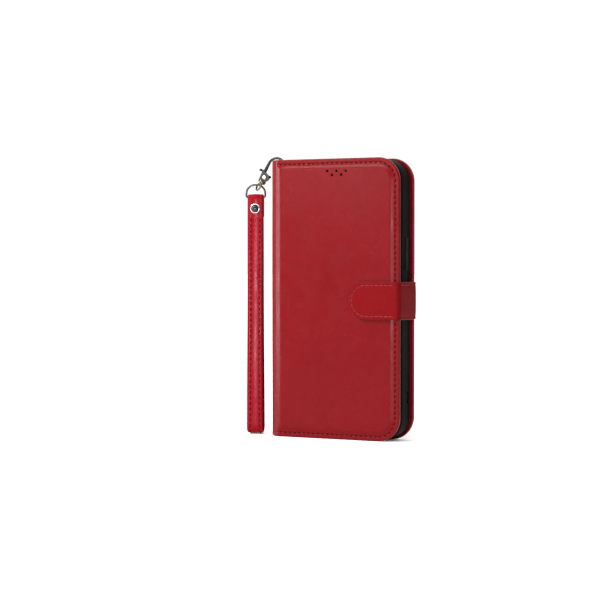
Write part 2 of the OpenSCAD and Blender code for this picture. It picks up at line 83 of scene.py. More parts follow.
REAR_HIGH = box_mm("rear_cover_leather")[1]
FRONT_LOW = box_mm("front_cover_leather")[0]
SPINE_LOW, SPINE_HIGH = box_mm("spine_leather")
SHELL_LOW, SHELL_HIGH = box_mm("phone_shell")
COVER_H = REAR_HIGH[2]
EDGE_X = REAR_HIGH[0]
SPINE_X = SPINE_LOW[0]
COVER_T = 2.3
PANEL_RISE = 0.6
REAR_OUT = REAR_HIGH[1]
FRONT_OUT = FRONT_LOW[1] + PANEL_RISE
FRONT_IN = FRONT_OUT + COVER_T
MID_Y = (SPINE_LOW[1] + SPINE_HIGH[1]) / 2
CORNER_R = 14.0
STITCH_INSET = 2.8
STITCH_PITCH = 3.4
CLASP_PITCH = 3.1
FRONT_ROUND = 9.5
REAR_ROUND = 4.0
HOLE_Z = 156.35
CLASP_Z = 82.7
FOLD_X = -43.9

# ---------- mesh helpers ----------


def shade_smooth(mesh, sharp):
    """Smooth shading, with hard edges where the faces turn by more than sharp degrees."""
    mesh.polygons.foreach_set("use_smooth", [True] * len(mesh.polygons))
    mesh.set_sharp_from_angle(angle=math.radians(sharp))


def make_object(name, verts, faces, materials, face_material=None, sharp=40):
    """Mesh object from points in millimetres. face_material has a material number per face."""
    mesh = bpy.data.meshes.new(name)
    mesh.from_pydata([tuple(p) for p in np.asarray(verts, float) * MM], [], faces)
    mesh.update()
    for material in materials:
        mesh.materials.append(material)
    if face_material is not None:
        mesh.polygons.foreach_set("material_index", face_material)
    bm = bmesh.new()
    bm.from_mesh(mesh)
    bmesh.ops.recalc_face_normals(bm, faces=bm.faces)
    bm.to_mesh(mesh)
    bm.free()
    shade_smooth(mesh, sharp)
    obj = bpy.data.objects.new(name, mesh)
    bpy.context.scene.collection.objects.link(obj)
    return obj


def place_piece(obj, slot, body, *nodes):
    """Hides the CAD nodes that obj replaces and hangs obj on the body that carries it.
    The slot argument is not used.
    """
    if nodes:
        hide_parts(*nodes)
    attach(obj, body)


class Parts:
    """Collects several closed shapes into one mesh."""

    def __init__(self):
        self.verts, self.faces = [], []

    def add(self, verts, faces):
        base = len(self.verts)
        self.verts.extend(np.asarray(verts, float).tolist())
        self.faces.extend([tuple(i + base for i in f) for f in faces])

    def build(self, name, materials):
        return make_object(name, self.verts, self.faces, materials)


def tube(path, radius, sides=16, closed=False, flat=None, up=None):
    """Tube along a path. radius is one number or one per point. flat = (a, b) scales the section
    along and across the up direction."""
    path = np.asarray(path, float)
    radii = np.broadcast_to(np.asarray(radius, float), (len(path),))
    if closed:
        tangent = np.roll(path, -1, 0) - np.roll(path, 1, 0)
    else:
        tangent = np.gradient(path, axis=0)
    tangent /= np.linalg.norm(tangent, axis=1)[:, None]
    normal = np.asarray(up if up is not None else (0.123, 0.456, 0.789), float)
    normals = []
    for t in tangent:
        normal = normal - t * (normal @ t)
        normal = normal / np.linalg.norm(normal)
        normals.append(normal)
    scale_n, scale_b = flat or (1.0, 1.0)
    turns = [2 * math.pi * k / sides for k in range(sides)]
    rings = []
    for p, t, n, r in zip(path, tangent, normals, radii):
        b = np.cross(t, n)
        rings.append([p + r * (scale_n * math.cos(a) * n + scale_b * math.sin(a) * b)
                      for a in turns])
    return loft(rings, closed)


def loft(rings, closed=False):
    """Shape through rings of points, the same count in each. The ends are capped, or the last
    ring joins the first when closed."""
    n = len(rings[0])
    verts = [point for ring in rings for point in ring]
    faces = []
    for i in range(len(rings) if closed else len(rings) - 1):
        j = (i + 1) % len(rings)
        for k in range(n):
            q = (k + 1) % n
            faces.append((i * n + k, i * n + q, j * n + q, j * n + k))
    if not closed:
        faces.append(tuple(reversed(range(n))))
        faces.append(tuple(range(len(verts) - n, len(verts))))
    return verts, faces


def lathe(profile, centre, axis, sides=40):
    """Turned shape: profile is a list of (radius, height) along the axis, from centre."""
    axis = np.asarray(axis, float)
    axis /= np.linalg.norm(axis)
    side = np.cross(axis, (0.31, 0.17, 0.93))
    side /= np.linalg.norm(side)
    other = np.cross(axis, side)
    turns = [2 * math.pi * k / sides for k in range(sides)]
    rings = [[np.asarray(centre) + axis * h
              + max(r, 1e-3) * (math.cos(a) * side + math.sin(a) * other) for a in turns]
             for r, h in profile]
    return loft(rings)


def closed_sheet(outer, inner, bulge=0.0, wall_steps=3, open_start=True):
    """Closed solid between two grids of points (n, m, 3). The walls round outwards by bulge,
    except at the first row of points where open_start leaves a straight cut.
    Returns points, faces and marks: 0 outside, 1 inside, 2 wall."""
    n, m = outer.shape[:2]
    verts = [*outer.reshape(-1, 3), *inner.reshape(-1, 3)]
    base = n * m
    faces, marks = [], []
    for i in range(n - 1):
        for j in range(m - 1):
            a, b, c, d = i * m + j, i * m + j + 1, (i + 1) * m + j + 1, (i + 1) * m + j
            faces.append((a, b, c, d))
            marks.append(0)
            faces.append((a + base, d + base, c + base, b + base))
            marks.append(1)
    rim = [(i, 0) for i in range(n)] + [(n - 1, j) for j in range(1, m)]
    rim += [(i, m - 1) for i in range(n - 2, -1, -1)] + [(0, j) for j in range(m - 2, 0, -1)]
    loops = [[i * m + j for i, j in rim]]
    for step in range(1, wall_steps):
        t = step / wall_steps
        loop = []
        for i, j in rim:
            near = (min(max(i, 1), n - 2), min(max(j, 1), m - 2))
            if open_start and i == 0:
                near = (0, near[1])
            away = (outer[i, j] + inner[i, j]) / 2 - (outer[near] + inner[near]) / 2
            across = inner[i, j] - outer[i, j]
            across = across / np.linalg.norm(across)
            away = away - across * (away @ across)
            size = np.linalg.norm(away)
            away = away / size if size > 1e-9 else away * 0
            loop.append(len(verts))
            verts.append(outer[i, j] * (1 - t) + inner[i, j] * t
                         + away * bulge * math.sin(math.pi * t))
        loops.append(loop)
    loops.append([base + i * m + j for i, j in rim])
    for first, second in zip(loops, loops[1:]):
        for k in range(len(rim)):
            q = (k + 1) % len(rim)
            faces.append((first[k], second[k], second[q], first[q]))
            marks.append(2)
    return np.array(verts), faces, marks


def cut(obj, *cutters):
    """Cuts closed shapes out of obj for good."""
    for cutter in cutters:
        modifier = obj.modifiers.new("cut", "BOOLEAN")
        modifier.operation = "DIFFERENCE"
        modifier.solver = "EXACT"
        modifier.object = cutter
        if cutter.data.materials:
            modifier.material_mode = "TRANSFER"
    settle(obj)
    for cutter in cutters:
        bpy.data.objects.remove(cutter)


def settle(obj):
    """Applies the modifiers of obj."""
    graph = bpy.context.evaluated_depsgraph_get()
    graph.update()
    mesh = bpy.data.meshes.new_from_object(obj.evaluated_get(graph))
    obj.modifiers.clear()
    obj.data = mesh


def prism(outline, low, high, axis="y", taper=0.0):
    """Closed prism along an axis, over an outline of points in the plane across it. The high end
    is larger by taper."""
    outline = np.asarray(outline, float)
    centre = outline.mean(0)
    rings = []
    for level, grow in ((low, 1.0), (high, 1.0 + taper)):
        ring = centre + (outline - centre) * grow
        rings.append(np.insert(ring, "xyz".index(axis), level, axis=1))
    return loft(rings)


def arc(cx, cy, r, start, stop, count):
    """Points on an arc, both ends included, with angles in degrees."""
    return [(cx + r * math.cos(a), cy + r * math.sin(a))
            for a in np.radians(np.linspace(start, stop, count))]


def rounded_box_outline(cx, cz, w, h, r, steps=10):
    """Points round a rectangle with round corners."""
    points = []
    for sx, sz, start in ((1, 1, 0), (-1, 1, 90), (-1, -1, 180), (1, -1, 270)):
        points += arc(cx + sx * (w / 2 - r), cz + sz * (h / 2 - r), r, start, start + 90, steps + 1)
    return points


def smooth_step(t):
    t = np.clip(t, 0, 1)
    return t * t * (3 - 2 * t)


def edge_roll(d, r):
    """How far a surface with an edge of radius r has dropped at distance d from the edge."""
    return r - np.sqrt(np.maximum(r ** 2 - np.maximum(r - d, 0) ** 2, 0))


def ridge(d, at, width):
    """Bell shape, 1 where d equals at."""
    return np.exp(-((d - at) / width) ** 2)


def soft_noise(x, z, seed):
    """Smooth bumps from a few sine waves, about -1 to 1."""
    rng = np.random.default_rng(seed)
    total = 0
    for _ in range(7):
        fx, fz = rng.normal(0, 0.07, 2)
        total = total + np.sin(fx * x + fz * z + rng.uniform(0, 6.28))
    return total / 4


# ---------- material helpers ----------


class Shader:
    """Small builder of node trees round one Principled shader."""

    def __init__(self, name, color, roughness, metallic=0.0, **sockets):
        self.material = bpy.data.materials.new(name)
        self.material.use_nodes = True
        self.tree = self.material.node_tree
        self.shader = self.tree.nodes["Principled BSDF"]
        self.shader.inputs["Base Color"].default_value = (*color, 1)
        self.shader.inputs["Roughness"].default_value = roughness
        self.shader.inputs["Metallic"].default_value = metallic
        for key, value in sockets.items():
            self.shader.inputs[key.replace("_", " ")].default_value = value
        self.coordinates = self.node("ShaderNodeTexCoord").outputs["Object"]
        self.height = None

    def node(self, kind, **settings):
        node = self.tree.nodes.new(kind)
        for key, value in settings.items():
            if key in node.inputs:
                node.inputs[key].default_value = value
            else:
                setattr(node, key, value)
        return node

    def link(self, a, b):
        self.tree.links.new(a, b)

    def stretched(self, scale):
        mapping = self.node("ShaderNodeMapping")
        mapping.inputs["Scale"].default_value = scale
        self.link(self.coordinates, mapping.inputs["Vector"])
        return mapping.outputs["Vector"]

    def noise(self, scale, detail=3.0, rough=0.55, vector=None, distortion=0.0):
        node = self.node("ShaderNodeTexNoise", Scale=scale, Detail=detail, Roughness=rough,
                         Distortion=distortion)
        self.link(vector or self.coordinates, node.inputs["Vector"])
        return node.outputs["Fac"]

    def cells(self, scale, feature="DISTANCE_TO_EDGE", vector=None):
        node = self.node("ShaderNodeTexVoronoi", Scale=scale)
        node.feature = feature
        self.link(vector or self.coordinates, node.inputs["Vector"])
        return node.outputs["Distance"]

    def ramp(self, value, low, high, start=0.0, end=1.0):
        node = self.node("ShaderNodeMapRange")
        for key, v in (("From Min", low), ("From Max", high), ("To Min", start), ("To Max", end)):
            node.inputs[key].default_value = v
        self.link(value, node.inputs["Value"])
        return node.outputs["Result"]

    def mix(self, factor, a, b):
        node = self.node("ShaderNodeMix", data_type="RGBA")
        self.link(factor, node.inputs["Factor"])
        for socket, value in ((node.inputs[6], a), (node.inputs[7], b)):
            if isinstance(value, tuple):
                socket.default_value = (*value, 1)
            else:
                self.link(value, socket)
        return node.outputs[2]

    def bump(self, value, distance, strength=1.0):
        node = self.node("ShaderNodeBump", Distance=distance, Strength=strength)
        self.link(value, node.inputs["Height"])
        if self.height is not None:
            self.link(self.height, node.inputs["Normal"])
        self.height = node.outputs["Normal"]
        self.link(self.height, self.shader.inputs["Normal"])

    def color(self, value):
        self.link(value, self.shader.inputs["Base Color"])

    def roughness(self, value):
        self.link(value, self.shader.inputs["Roughness"])


def leather(name, base, light, dark, rough, grain=420, specular=0.12):
    """Waxy smooth leather: fine pores, faint creases, slow changes of colour and gloss."""
    s = Shader(name, base, rough, Specular_IOR_Level=specular)
    patch = s.ramp(s.noise(28, 4, 0.6), 0.35, 0.7)
    tone = s.mix(patch, base, light)
    creases = s.ramp(s.cells(70, vector=s.stretched((1.0, 1.0, 0.55))), 0.0, 0.05, 1.0, 0.0)
    veins = s.noise(160, 5, 0.65, distortion=1.5)
    wear = s.ramp(veins, 0.3, 0.75)
    tone = s.mix(s.ramp(wear, 0.0, 1.0, 0.0, 0.55), tone, dark)
    s.color(tone)
    s.roughness(s.ramp(s.noise(90, 4), 0.3, 0.7, rough - 0.05, rough + 0.08))
    s.bump(creases, -0.00006, 0.22)
    s.bump(s.noise(240, 4), 0.00008, 0.25)
    s.bump(s.cells(grain * 4, "F1"), 0.00004, 0.25)
    return s.material


RED = leather("red_leather", (0.095, 0.0018, 0.003), (0.106, 0.0025, 0.0039),
              (0.083, 0.0014, 0.0025), 0.25, specular=0.06)
RED_EDGE = leather("red_edge_paint", (0.13, 0.005, 0.01), (0.16, 0.008, 0.014),
                   (0.1, 0.003, 0.006), 0.32, grain=260, specular=0.12)
RED_CLASP = leather("clasp_leather", (0.099, 0.0021, 0.0034), (0.11, 0.0028, 0.0042),
                    (0.086, 0.0016, 0.0027), 0.36, specular=0.02)
# Edge paint of the clasp, lighter and pinker than the cover's edges: partly real edge paint, partly a
# painted highlight along the clasp's rims.
CLASP_EDGE_PAINT_AND_HIGHLIGHT = leather("clasp_edge_paint_and_painted_highlight", (0.16, 0.018, 0.023), (0.2, 0.028, 0.033),
                     (0.13, 0.012, 0.016), 0.35, grain=260, specular=0.3)
LINING = leather("red_lining", (0.115, 0.0035, 0.0055), (0.13, 0.005, 0.0075),
                 (0.095, 0.0025, 0.004), 0.55, grain=520, specular=0.05)
STRAP = leather("strap_leather_red", (0.152, 0.0006, 0.0042), (0.17, 0.001, 0.0055),
                (0.13, 0.0005, 0.003), 0.19, grain=300, specular=0.06)
STRAP_EDGE = leather("strap_edge_paint", (0.16, 0.001, 0.008), (0.19, 0.002, 0.011),
                     (0.12, 0.001, 0.005), 0.45, grain=300)


def thread(name, color, light):
    """Twisted sewing thread: fine slanted plies."""
    s = Shader(name, color, 0.65, Specular_IOR_Level=0.04)
    wave = s.node("ShaderNodeTexWave", Scale=900, Distortion=1.2)
    wave.bands_direction = "DIAGONAL"
    s.link(s.coordinates, wave.inputs["Vector"])
    plies = wave.outputs["Fac"]
    s.color(s.mix(plies, color, light))
    s.bump(plies, 0.00005, 0.5)
    return s.material


THREAD = thread("dark_red_thread", (0.034, 0.0012, 0.0025), (0.055, 0.002, 0.0035))
# Thread for the clasp, lighter and pinker than the cover's thread: a painted highlight on the clasp's
# stitches.
THREAD_CLASP_PAINTED_HIGHLIGHT = thread("clasp_thread", (0.09, 0.01, 0.013), (0.2, 0.045, 0.05))
THREAD_STRAP = thread("strap_thread", (0.06, 0.0008, 0.009), (0.1, 0.0015, 0.014))


def soft_plastic(name, color, rough):
    """Satin moulded shell: very fine spark-eroded texture."""
    s = Shader(name, color, rough, Specular_IOR_Level=0.03)
    patch = s.noise(60, 3)
    s.color(s.mix(s.ramp(patch, 0.3, 0.7), color, tuple(c * 1.35 + 0.001 for c in color)))
    s.roughness(s.ramp(s.noise(140, 4), 0.3, 0.7, rough - 0.06, rough + 0.08))
    s.bump(s.noise(2600, 2), 0.00002, 0.35)
    return s.material


SHELL = soft_plastic("shell_black", (0.003, 0.0031, 0.0028), 0.5)
BUTTON = soft_plastic("button_black", (0.006, 0.006, 0.0058), 0.4)


def metal(name, color, tint, rough, wear=0.12):
    """Plated die-cast metal: polish marks, small pits and a change of tint."""
    s = Shader(name, color, rough, metallic=1.0)
    patch = s.ramp(s.noise(320, 5, 0.65), 0.35, 0.7)
    s.color(s.mix(patch, color, tint))
    streaks = s.noise(900, 4, 0.6, vector=s.stretched((1.0, 1.0, 0.15)))
    s.roughness(s.ramp(streaks, 0.3, 0.75, max(0.05, rough - wear / 2), rough + wear))
    s.bump(s.noise(700, 4), 0.00002, 0.3)
    return s.material


GUNMETAL = metal("gunmetal", (0.02, 0.019, 0.019), (0.036, 0.034, 0.034), 0.22)
NICKEL = metal("bright_nickel", (0.62, 0.61, 0.6), (0.5, 0.49, 0.49), 0.14)
RING_METAL = metal("ring_metal", (0.032, 0.032, 0.032), (0.055, 0.055, 0.055), 0.16)
BRONZE = metal("bronze_tint", (0.13, 0.082, 0.045), (0.08, 0.055, 0.035), 0.2)
STEEL = metal("plain_steel", (0.42, 0.42, 0.43), (0.33, 0.33, 0.34), 0.35)


def enamel(name, color):
    """Glossy paint with a faint waviness."""
    s = Shader(name, color, 0.16, Specular_IOR_Level=0.25)
    s.color(s.mix(s.ramp(s.noise(300, 3), 0.35, 0.7), color, tuple(c * 1.6 for c in color)))
    s.roughness(s.ramp(s.noise(500, 4), 0.3, 0.7, 0.12, 0.22))
    s.bump(s.noise(500, 3), 0.00001, 0.3)
    return s.material


ENAMEL = enamel("black_enamel", (0.008, 0.008, 0.008))


def fibre(name, color, light, scale=500):
    """Pressed fibre or foam, for the stiffeners inside the covers, and also near-black for the painted
    shade on the walls of the holes.
    """
    s = Shader(name, color, 0.85, Specular_IOR_Level=0.2)
    s.color(s.mix(s.ramp(s.noise(scale, 5, 0.7), 0.3, 0.7), color, light))
    s.bump(s.noise(scale * 2, 4), 0.0001, 0.5)
    return s.material


BOARD = fibre("fibre_board", (0.3, 0.25, 0.19), (0.4, 0.34, 0.27))
FOAM = fibre("foam_sheet", (0.06, 0.06, 0.062), (0.11, 0.11, 0.112), 1500)
# Near-black painted shade for the walls of the speaker and hook holes, darker than the board and foam
# inside.
HOLE_PAINTED_SHADE = fibre("hole_wall_painted_shade", (0.004, 0.003, 0.003), (0.008, 0.005, 0.005), 1500)

# ---------- covers and spine, as one wrap in two halves ----------

EDGE_ROWS = (0, 0.08, 0.2, 0.36, 0.55, 0.8, 1.1, 1.6, 2.05, 2.3, 2.5, 2.65, 2.8, 2.95, 3.1, 3.3,
             3.6, 4.0, 4.4, 4.8, 5.2, 5.6, 6.0, 6.5, 7.1, 8.0, 9.2, 10.6, 12)
EDGE_STEPS = 26
EDGE_BULGE = 0.16
FRONT_EDGE_ROUND = 0.85
REAR_EDGE_ROUND = 0.5
SKIN_STEP = 0.12
TURN_IN = 1.45


def cover_columns():
    """X of the columns over the round corners, up to the opening edge."""
    return [EDGE_X - CORNER_R * (1 - math.sin(math.radians(90 * k / EDGE_STEPS)))
            for k in range(EDGE_STEPS + 1)]


def corner_drop(x):
    """How far the outline has come in from the bottom and top edges at x."""
    into = x - (EDGE_X - CORNER_R)
    if into <= 0:
        return 0.0
    return CORNER_R - math.sqrt(max(CORNER_R ** 2 - into ** 2, 0))


def column_heights(drop, middle=104):
    """Heights of the points in one column, dense near its ends."""
    low = [drop + d + EDGE_BULGE for d in EDGE_ROWS]
    high = [COVER_H - z for z in reversed(low)]
    return np.array([*low, *np.linspace(low[-1], high[0], middle)[1:-1], *high])


def edge_distance(x, z):
    """Distance from the free edges of a cover, for points inside its outline."""
    d = np.minimum(z, COVER_H - z)
    d = np.minimum(d, EDGE_X - x)
    cx = EDGE_X - CORNER_R
    for cz, side in ((CORNER_R, -1), (COVER_H - CORNER_R, 1)):
        inside = (x > cx) & ((z - cz) * side > 0)
        d = np.where(inside, CORNER_R - np.hypot(x - cx, z - cz), d)
    return np.maximum(d, 0)


def wrap_path(front):
    """Stations of the outer skin from mid-spine to the opening edge: x, y and outward normal."""
    stations = []
    radius, out_y, turn = (FRONT_ROUND, FRONT_OUT, 1) if front else (REAR_ROUND, REAR_OUT, -1)
    centre_y = out_y + turn * radius
    steps = max(2, int(abs(centre_y - MID_Y) / 0.7))
    for y in np.linspace(MID_Y, centre_y, steps + 1)[:-1]:
        stations.append((SPINE_X, y, -1.0, 0.0))
    for nx, ny in arc(0, 0, 1, 180, 180 + turn * 90, 25):
        stations.append((SPINE_X + radius + radius * nx, centre_y + radius * ny, nx, ny))
    flat_from = SPINE_X + radius
    flat_to = EDGE_X - CORNER_R
    flat = np.linspace(flat_from, flat_to, int(flat_to - flat_from))[1:-1]
    return stations + [(x, out_y, 0.0, -1.0 * turn) for x in (*flat, *cover_columns())]


def wrap_relief(front, x, z, d, on_spine):
    """Height of the leather's surface over its plain face: stitch channel, raised panel and
    slow unevenness. d is the distance from the edge, on_spine the length run so far, or None."""
    lift = -0.16 * ridge(d, STITCH_INSET, 0.42) * smooth_step((x + 39) / 2)
    inner = smooth_step((d - 5) / 8)
    if front:
        on_cover = smooth_step((x - (SPINE_X + 7)) / 4)
        lift += PANEL_RISE * smooth_step((d - 3.3) / 2.9) * on_cover
        lift += 0.05 * soft_noise(x, z, 3) * inner
    else:
        lift += 0.04 * soft_noise(x, z, 5) * inner
    if on_spine is not None:
        lift += 0.035 * soft_noise(on_spine * 3, z * 0.7, 9) * smooth_step(d / 3)
    return lift


def wrap_half(front):
    """Outer leather, stiffener and lining of one cover with its half of the spine."""
    stations = wrap_path(front)
    heights = [column_heights(corner_drop(s[0])) for s in stations]
    outer, inner = [], []
    run = 0.0
    before = stations[0]
    for (x, y, nx, ny), z in zip(stations, heights):
        run += math.hypot(x - before[0], y - before[1])
        before = (x, y)
        if ny == 0 or abs(nx) > 1e-6:
            d = np.minimum(z, COVER_H - z)
        else:
            d = edge_distance(np.full(len(z), x), z)
        drop = edge_roll(d, FRONT_EDGE_ROUND if front else REAR_EDGE_ROUND)
        out = wrap_relief(front, x, z, d, run if abs(nx) > 0.5 else None) - drop
        outer.append(np.stack([x + nx * out, y + ny * out, z], -1))
        back = COVER_T - drop * 0.9 + SKIN_STEP * smooth_step((1.6 - d) / 0.5)
        inner.append(np.stack([x - nx * back, y - ny * back, z], -1))
    verts, faces, marks = closed_sheet(np.array(outer), np.array(inner), bulge=EDGE_BULGE,
                                       wall_steps=4)
    for k, face in enumerate(faces):
        x, _, z = verts[list(face)].mean(0)
        at_edge = x > SPINE_X + 6 and edge_distance(np.array([x]), np.array([z]))[0] < TURN_IN
        if marks[k] == 1 and at_edge:
            marks[k] = 0
    return make_object("front_wrap" if front else "rear_wrap", verts, faces,
                       [RED, LINING, RED_EDGE], marks, sharp=55)


rear_wrap = wrap_half(False)
front_wrap = wrap_half(True)


def plain_cutter(verts, faces, materials=()):
    """Shape to cut away. Its materials, if any, go on the walls of the hole."""
    return make_object("cutter", verts, faces, list(materials))


WINDOW_X, WINDOW_Z = 20.0, 141.0
WINDOW_W, WINDOW_H, WINDOW_R = 36.0, 38.0, 8.0
RIM_GAP = 1.35
window_shape = rounded_box_outline(WINDOW_X, WINDOW_Z, WINDOW_W + 2 * RIM_GAP,
                                   WINDOW_H + 2 * RIM_GAP, WINDOW_R + RIM_GAP, 14)
cut(rear_wrap, plain_cutter(*prism(window_shape, REAR_OUT - 5, REAR_OUT + 5)),
    plain_cutter(*prism(window_shape, REAR_OUT - 0.45, REAR_OUT + 0.6, taper=0.05)))

SPEAKER_X, SPEAKER_Z = 3.6, 158.4
SPEAKER_R, SPEAKER_PITCH, SPEAKER_RISE = 0.85, 3.13, 1.15
HOOK_HOLE_R = 1.5
holes = Parts()
for i in range(-2, 3):
    centre = (SPEAKER_X + SPEAKER_PITCH * i, FRONT_OUT - 3,
              SPEAKER_Z + SPEAKER_RISE * (-1) ** i)
    holes.add(*lathe([(SPEAKER_R, 0), (SPEAKER_R, 8)], centre, (0, 1, 0), 24))
# The speaker holes' walls take the near-black painted shade.
cut(front_wrap, holes.build("cutter", [HOLE_PAINTED_SHADE]))
# The hook holes' walls take the same painted shade.
for half in (rear_wrap, front_wrap):
    cut(half, plain_cutter(*lathe([(HOOK_HOLE_R, 0), (HOOK_HOLE_R, 10)],
                                  (SPINE_X - 4, MID_Y, HOLE_Z), (1, 0, 0), 32), [HOLE_PAINTED_SHADE]))
    shade_smooth(half.data, 55)

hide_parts("rear_cover_leather", "rear_lining", "rear_fold_leather")
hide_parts("front_cover_leather", "front_lining", "front_fold_leather",
            "spine_leather", "spine_lining")
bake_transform(rear_wrap)
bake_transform(front_wrap)

# ---------- stitches ----------


def stitch(parts, centre, along, out, length, wide=0.26, lift=0.1, sink=0.22):
    """One thread loop that dives into the leather at both ends."""
    centre, along, out = (np.asarray(v, float) for v in (centre, along, out))
    along = along / np.linalg.norm(along)
    out = out / np.linalg.norm(out)
    path = []
    for t in (-1.0, -0.86, -0.5, 0.0, 0.5, 0.86, 1.0):
        rise = lift - (sink + lift) * max(0.0, abs(t) - 0.45) / 0.55
        path.append(centre + along * length / 2 * t + out * rise)
    radii = [wide * k for k in (0.6, 0.9, 1.0, 1.05, 1.0, 0.9, 0.6)]
    parts.add(*tube(path, radii, 8, up=out))


def border_points(x0, inset, pitch):
    """Places and directions along the top, opening and bottom edges of a cover."""
    r = CORNER_R - inset
    x1, z0, z1 = EDGE_X - inset, inset, COVER_H - inset
    line = [(x, z1) for x in np.linspace(x0, x1 - r, 60)]
    line += arc(x1 - r, z1 - r, r, 87, 3, 29)
    line += [(x1, z) for z in np.linspace(z1 - r, z0 + r, 80)]
    line += arc(x1 - r, z0 + r, r, -3, -87, 29)
    line += [(x, z0) for x in np.linspace(x1 - r, x0, 60)]
    return even_points(line, pitch)


def even_points(line, pitch):
    """Even steps along a polyline: (point, direction)."""
    line = np.asarray(line, float)
    seg = np.linalg.norm(np.diff(line, axis=0), axis=1)
    run = np.concatenate([[0], np.cumsum(seg)])
    count = max(1, int(run[-1] // pitch))
    out = []
    for i in range(count):
        s = (i + 0.5) * run[-1] / count
        k = min(int(np.searchsorted(run, s) - 1), len(seg) - 1)
        t = (s - run[k]) / seg[k]
        d = (line[k + 1] - line[k]) / seg[k]
        out.append((line[k] * (1 - t) + line[k + 1] * t, d))
    return out


def border_stitches(name, y, out_y, cad_node, body):
    """Row of slanted stitches, each placed a little unevenly."""
    parts = Parts()
    for (x, z), (dx, dz) in border_points(-37.0, STITCH_INSET, 3.2):
        slant = math.radians(9)
        ax = dx * math.cos(slant) + dz * math.sin(slant)
        az = -dx * math.sin(slant) + dz * math.cos(slant)
        jitter = RNG.uniform(-0.06, 0.06)
        stitch(parts, (x + jitter * dz, y, z + jitter * dx), (ax, 0, az), (0, out_y, 0),
               2.2 + RNG.uniform(-0.12, 0.12), 0.42, 0.04, 0.36)
    place_piece(parts.build(name, [THREAD]), "thread", body, cad_node)


border_stitches("front_border_thread", FRONT_OUT + 0.1, -1, "front_stitching", "front")
border_stitches("rear_border_thread", REAR_OUT - 0.1, 1, "rear_stitching", "rear")

# ---------- soft shell for the phone ----------


WALL, LIP, LIP_T, BACK_T = 1.5, 0.9, 1.15, 1.3
SHELL_R = 12.0
SHELL_Y0, SHELL_Y1 = SHELL_LOW[1], REAR_OUT - COVER_T
BAY_Y0, BAY_Y1 = SHELL_Y0 + LIP_T, SHELL_Y1 - BACK_T
PORT_Y = (BAY_Y0 + BAY_Y1) / 2
CORD_Y, CORD_Z, CORD_APART = PORT_Y + 1.9, 25.5, 2.8


def shell_ring(w, h, r, cx, cz, steps=12, side=18):
    """Points round the shell outline, the same count at every level."""
    points = []
    starts = [np.array(p) for p in rounded_box_outline(cx, cz, w, h, r, steps)]
    corner = steps + 1
    for n in range(4):
        points += starts[n * corner:(n + 1) * corner]
        last, target = points[-1], starts[(n + 1) % 4 * corner]
        points += [last + (target - last) * k / side for k in range(1, side)]
    return np.array(points)


def shell_levels():
    """Section of the shell: (y, inset from its outline), from the middle of the back round the
    wall and the lip to the middle of the bay's floor."""
    def turned(*angles):
        return [(math.cos(math.radians(a)), math.sin(math.radians(a))) for a in angles]

    middle = 34.0
    levels = [(SHELL_Y1, middle), (SHELL_Y1, 1.6)]
    levels += [(SHELL_Y1 - 0.9 * (1 - c), 1.2 * (1 - s) + 0.12) for c, s in turned(20, 45, 70, 90)]
    levels += [(SHELL_Y1 - 0.9 + (SHELL_Y0 - SHELL_Y1 + 1.7) * t, 0.12 * (2 * t - 1) ** 2)
               for t in (0.2, 0.4, 0.6, 0.8)]
    levels += [(SHELL_Y0 + 0.7 * (1 - s), 0.12 + 0.9 * (1 - c))
               for c, s in turned(0, 25, 50, 75, 90)]
    levels += [(SHELL_Y0 + 0.45 * (1 - c), WALL + LIP - 0.45 + 0.45 * s)
               for c, s in turned(30, 60, 90)]
    return levels + [(BAY_Y0 - 0.1, WALL + LIP), (BAY_Y0, WALL + LIP - 0.15), (BAY_Y0 + 0.35, WALL),
                     (BAY_Y1 - 0.5, WALL), (BAY_Y1 - 0.1, WALL + 0.15), (BAY_Y1, WALL + 0.6),
                     (BAY_Y1, middle)]


def shell_openings(cx, x0, x1, z0):
    """Cutters for the camera window, the button slots, the cord holes and the charging port."""
    window = rounded_box_outline(WINDOW_X, WINDOW_Z, WINDOW_W, WINDOW_H, WINDOW_R, 12)
    slots, bottom = Parts(), Parts()
    for x, z, length in ((x1 - WALL / 2, 110.2, 19.8), (x0 + WALL / 2, 122, 11.3),
                         (x0 + WALL / 2, 106, 11.3)):
        outline = rounded_box_outline(PORT_Y, z, 3.5, length, 1.0, 6)
        slots.add(*prism(outline, x - 1.6, x + 1.6, axis="x"))
    for side in (-1, 1):
        slots.add(*lathe([(0.9, 0), (0.9, 4)], (x1 - 2.5, CORD_Y, CORD_Z + side * CORD_APART),
                         (1, 0, 0), 24))
    groove = rounded_box_outline(CORD_Y, CORD_Z, 0.9, 2 * CORD_APART, 0.4, 5)
    for x, w, depth, r in ((cx, 13, 5.6, 2.4), (cx - 18, 8, 1.6, 0.75), (cx + 18, 8, 1.6, 0.75)):
        bottom.add(*prism(rounded_box_outline(x, PORT_Y, w, depth, r, 8), z0 - 2, z0 + 3, axis="z"))
    return (plain_cutter(*prism(window, BAY_Y0 + 3, REAR_OUT + 3)), slots.build("cutter", []),
            plain_cutter(*prism(groove, x1 - 0.5, x1 + 2, axis="x")), bottom.build("cutter", []))


def window_rim():
    """Soft rim of the camera window, standing through the opening in the rear cover."""
    profile = [(1.2, SHELL_Y1 + 0.1), (1.2, REAR_OUT - 0.35), (1.12, REAR_OUT - 0.1),
               (0.9, REAR_OUT + 0.02), (0.3, REAR_OUT + 0.02), (0.08, REAR_OUT - 0.1),
               (0.0, REAR_OUT - 0.35), (0.0, BAY_Y1 + 0.05), (0.6, BAY_Y1 + 0.05)]
    rings = [[(x, y, z) for x, z in rounded_box_outline(
        WINDOW_X, WINDOW_Z, WINDOW_W + 2 * grow, WINDOW_H + 2 * grow, WINDOW_R + grow, 12)]
        for grow, y in profile]
    return make_object("camera_window_rim", *loft(rings, closed=True), [SHELL])


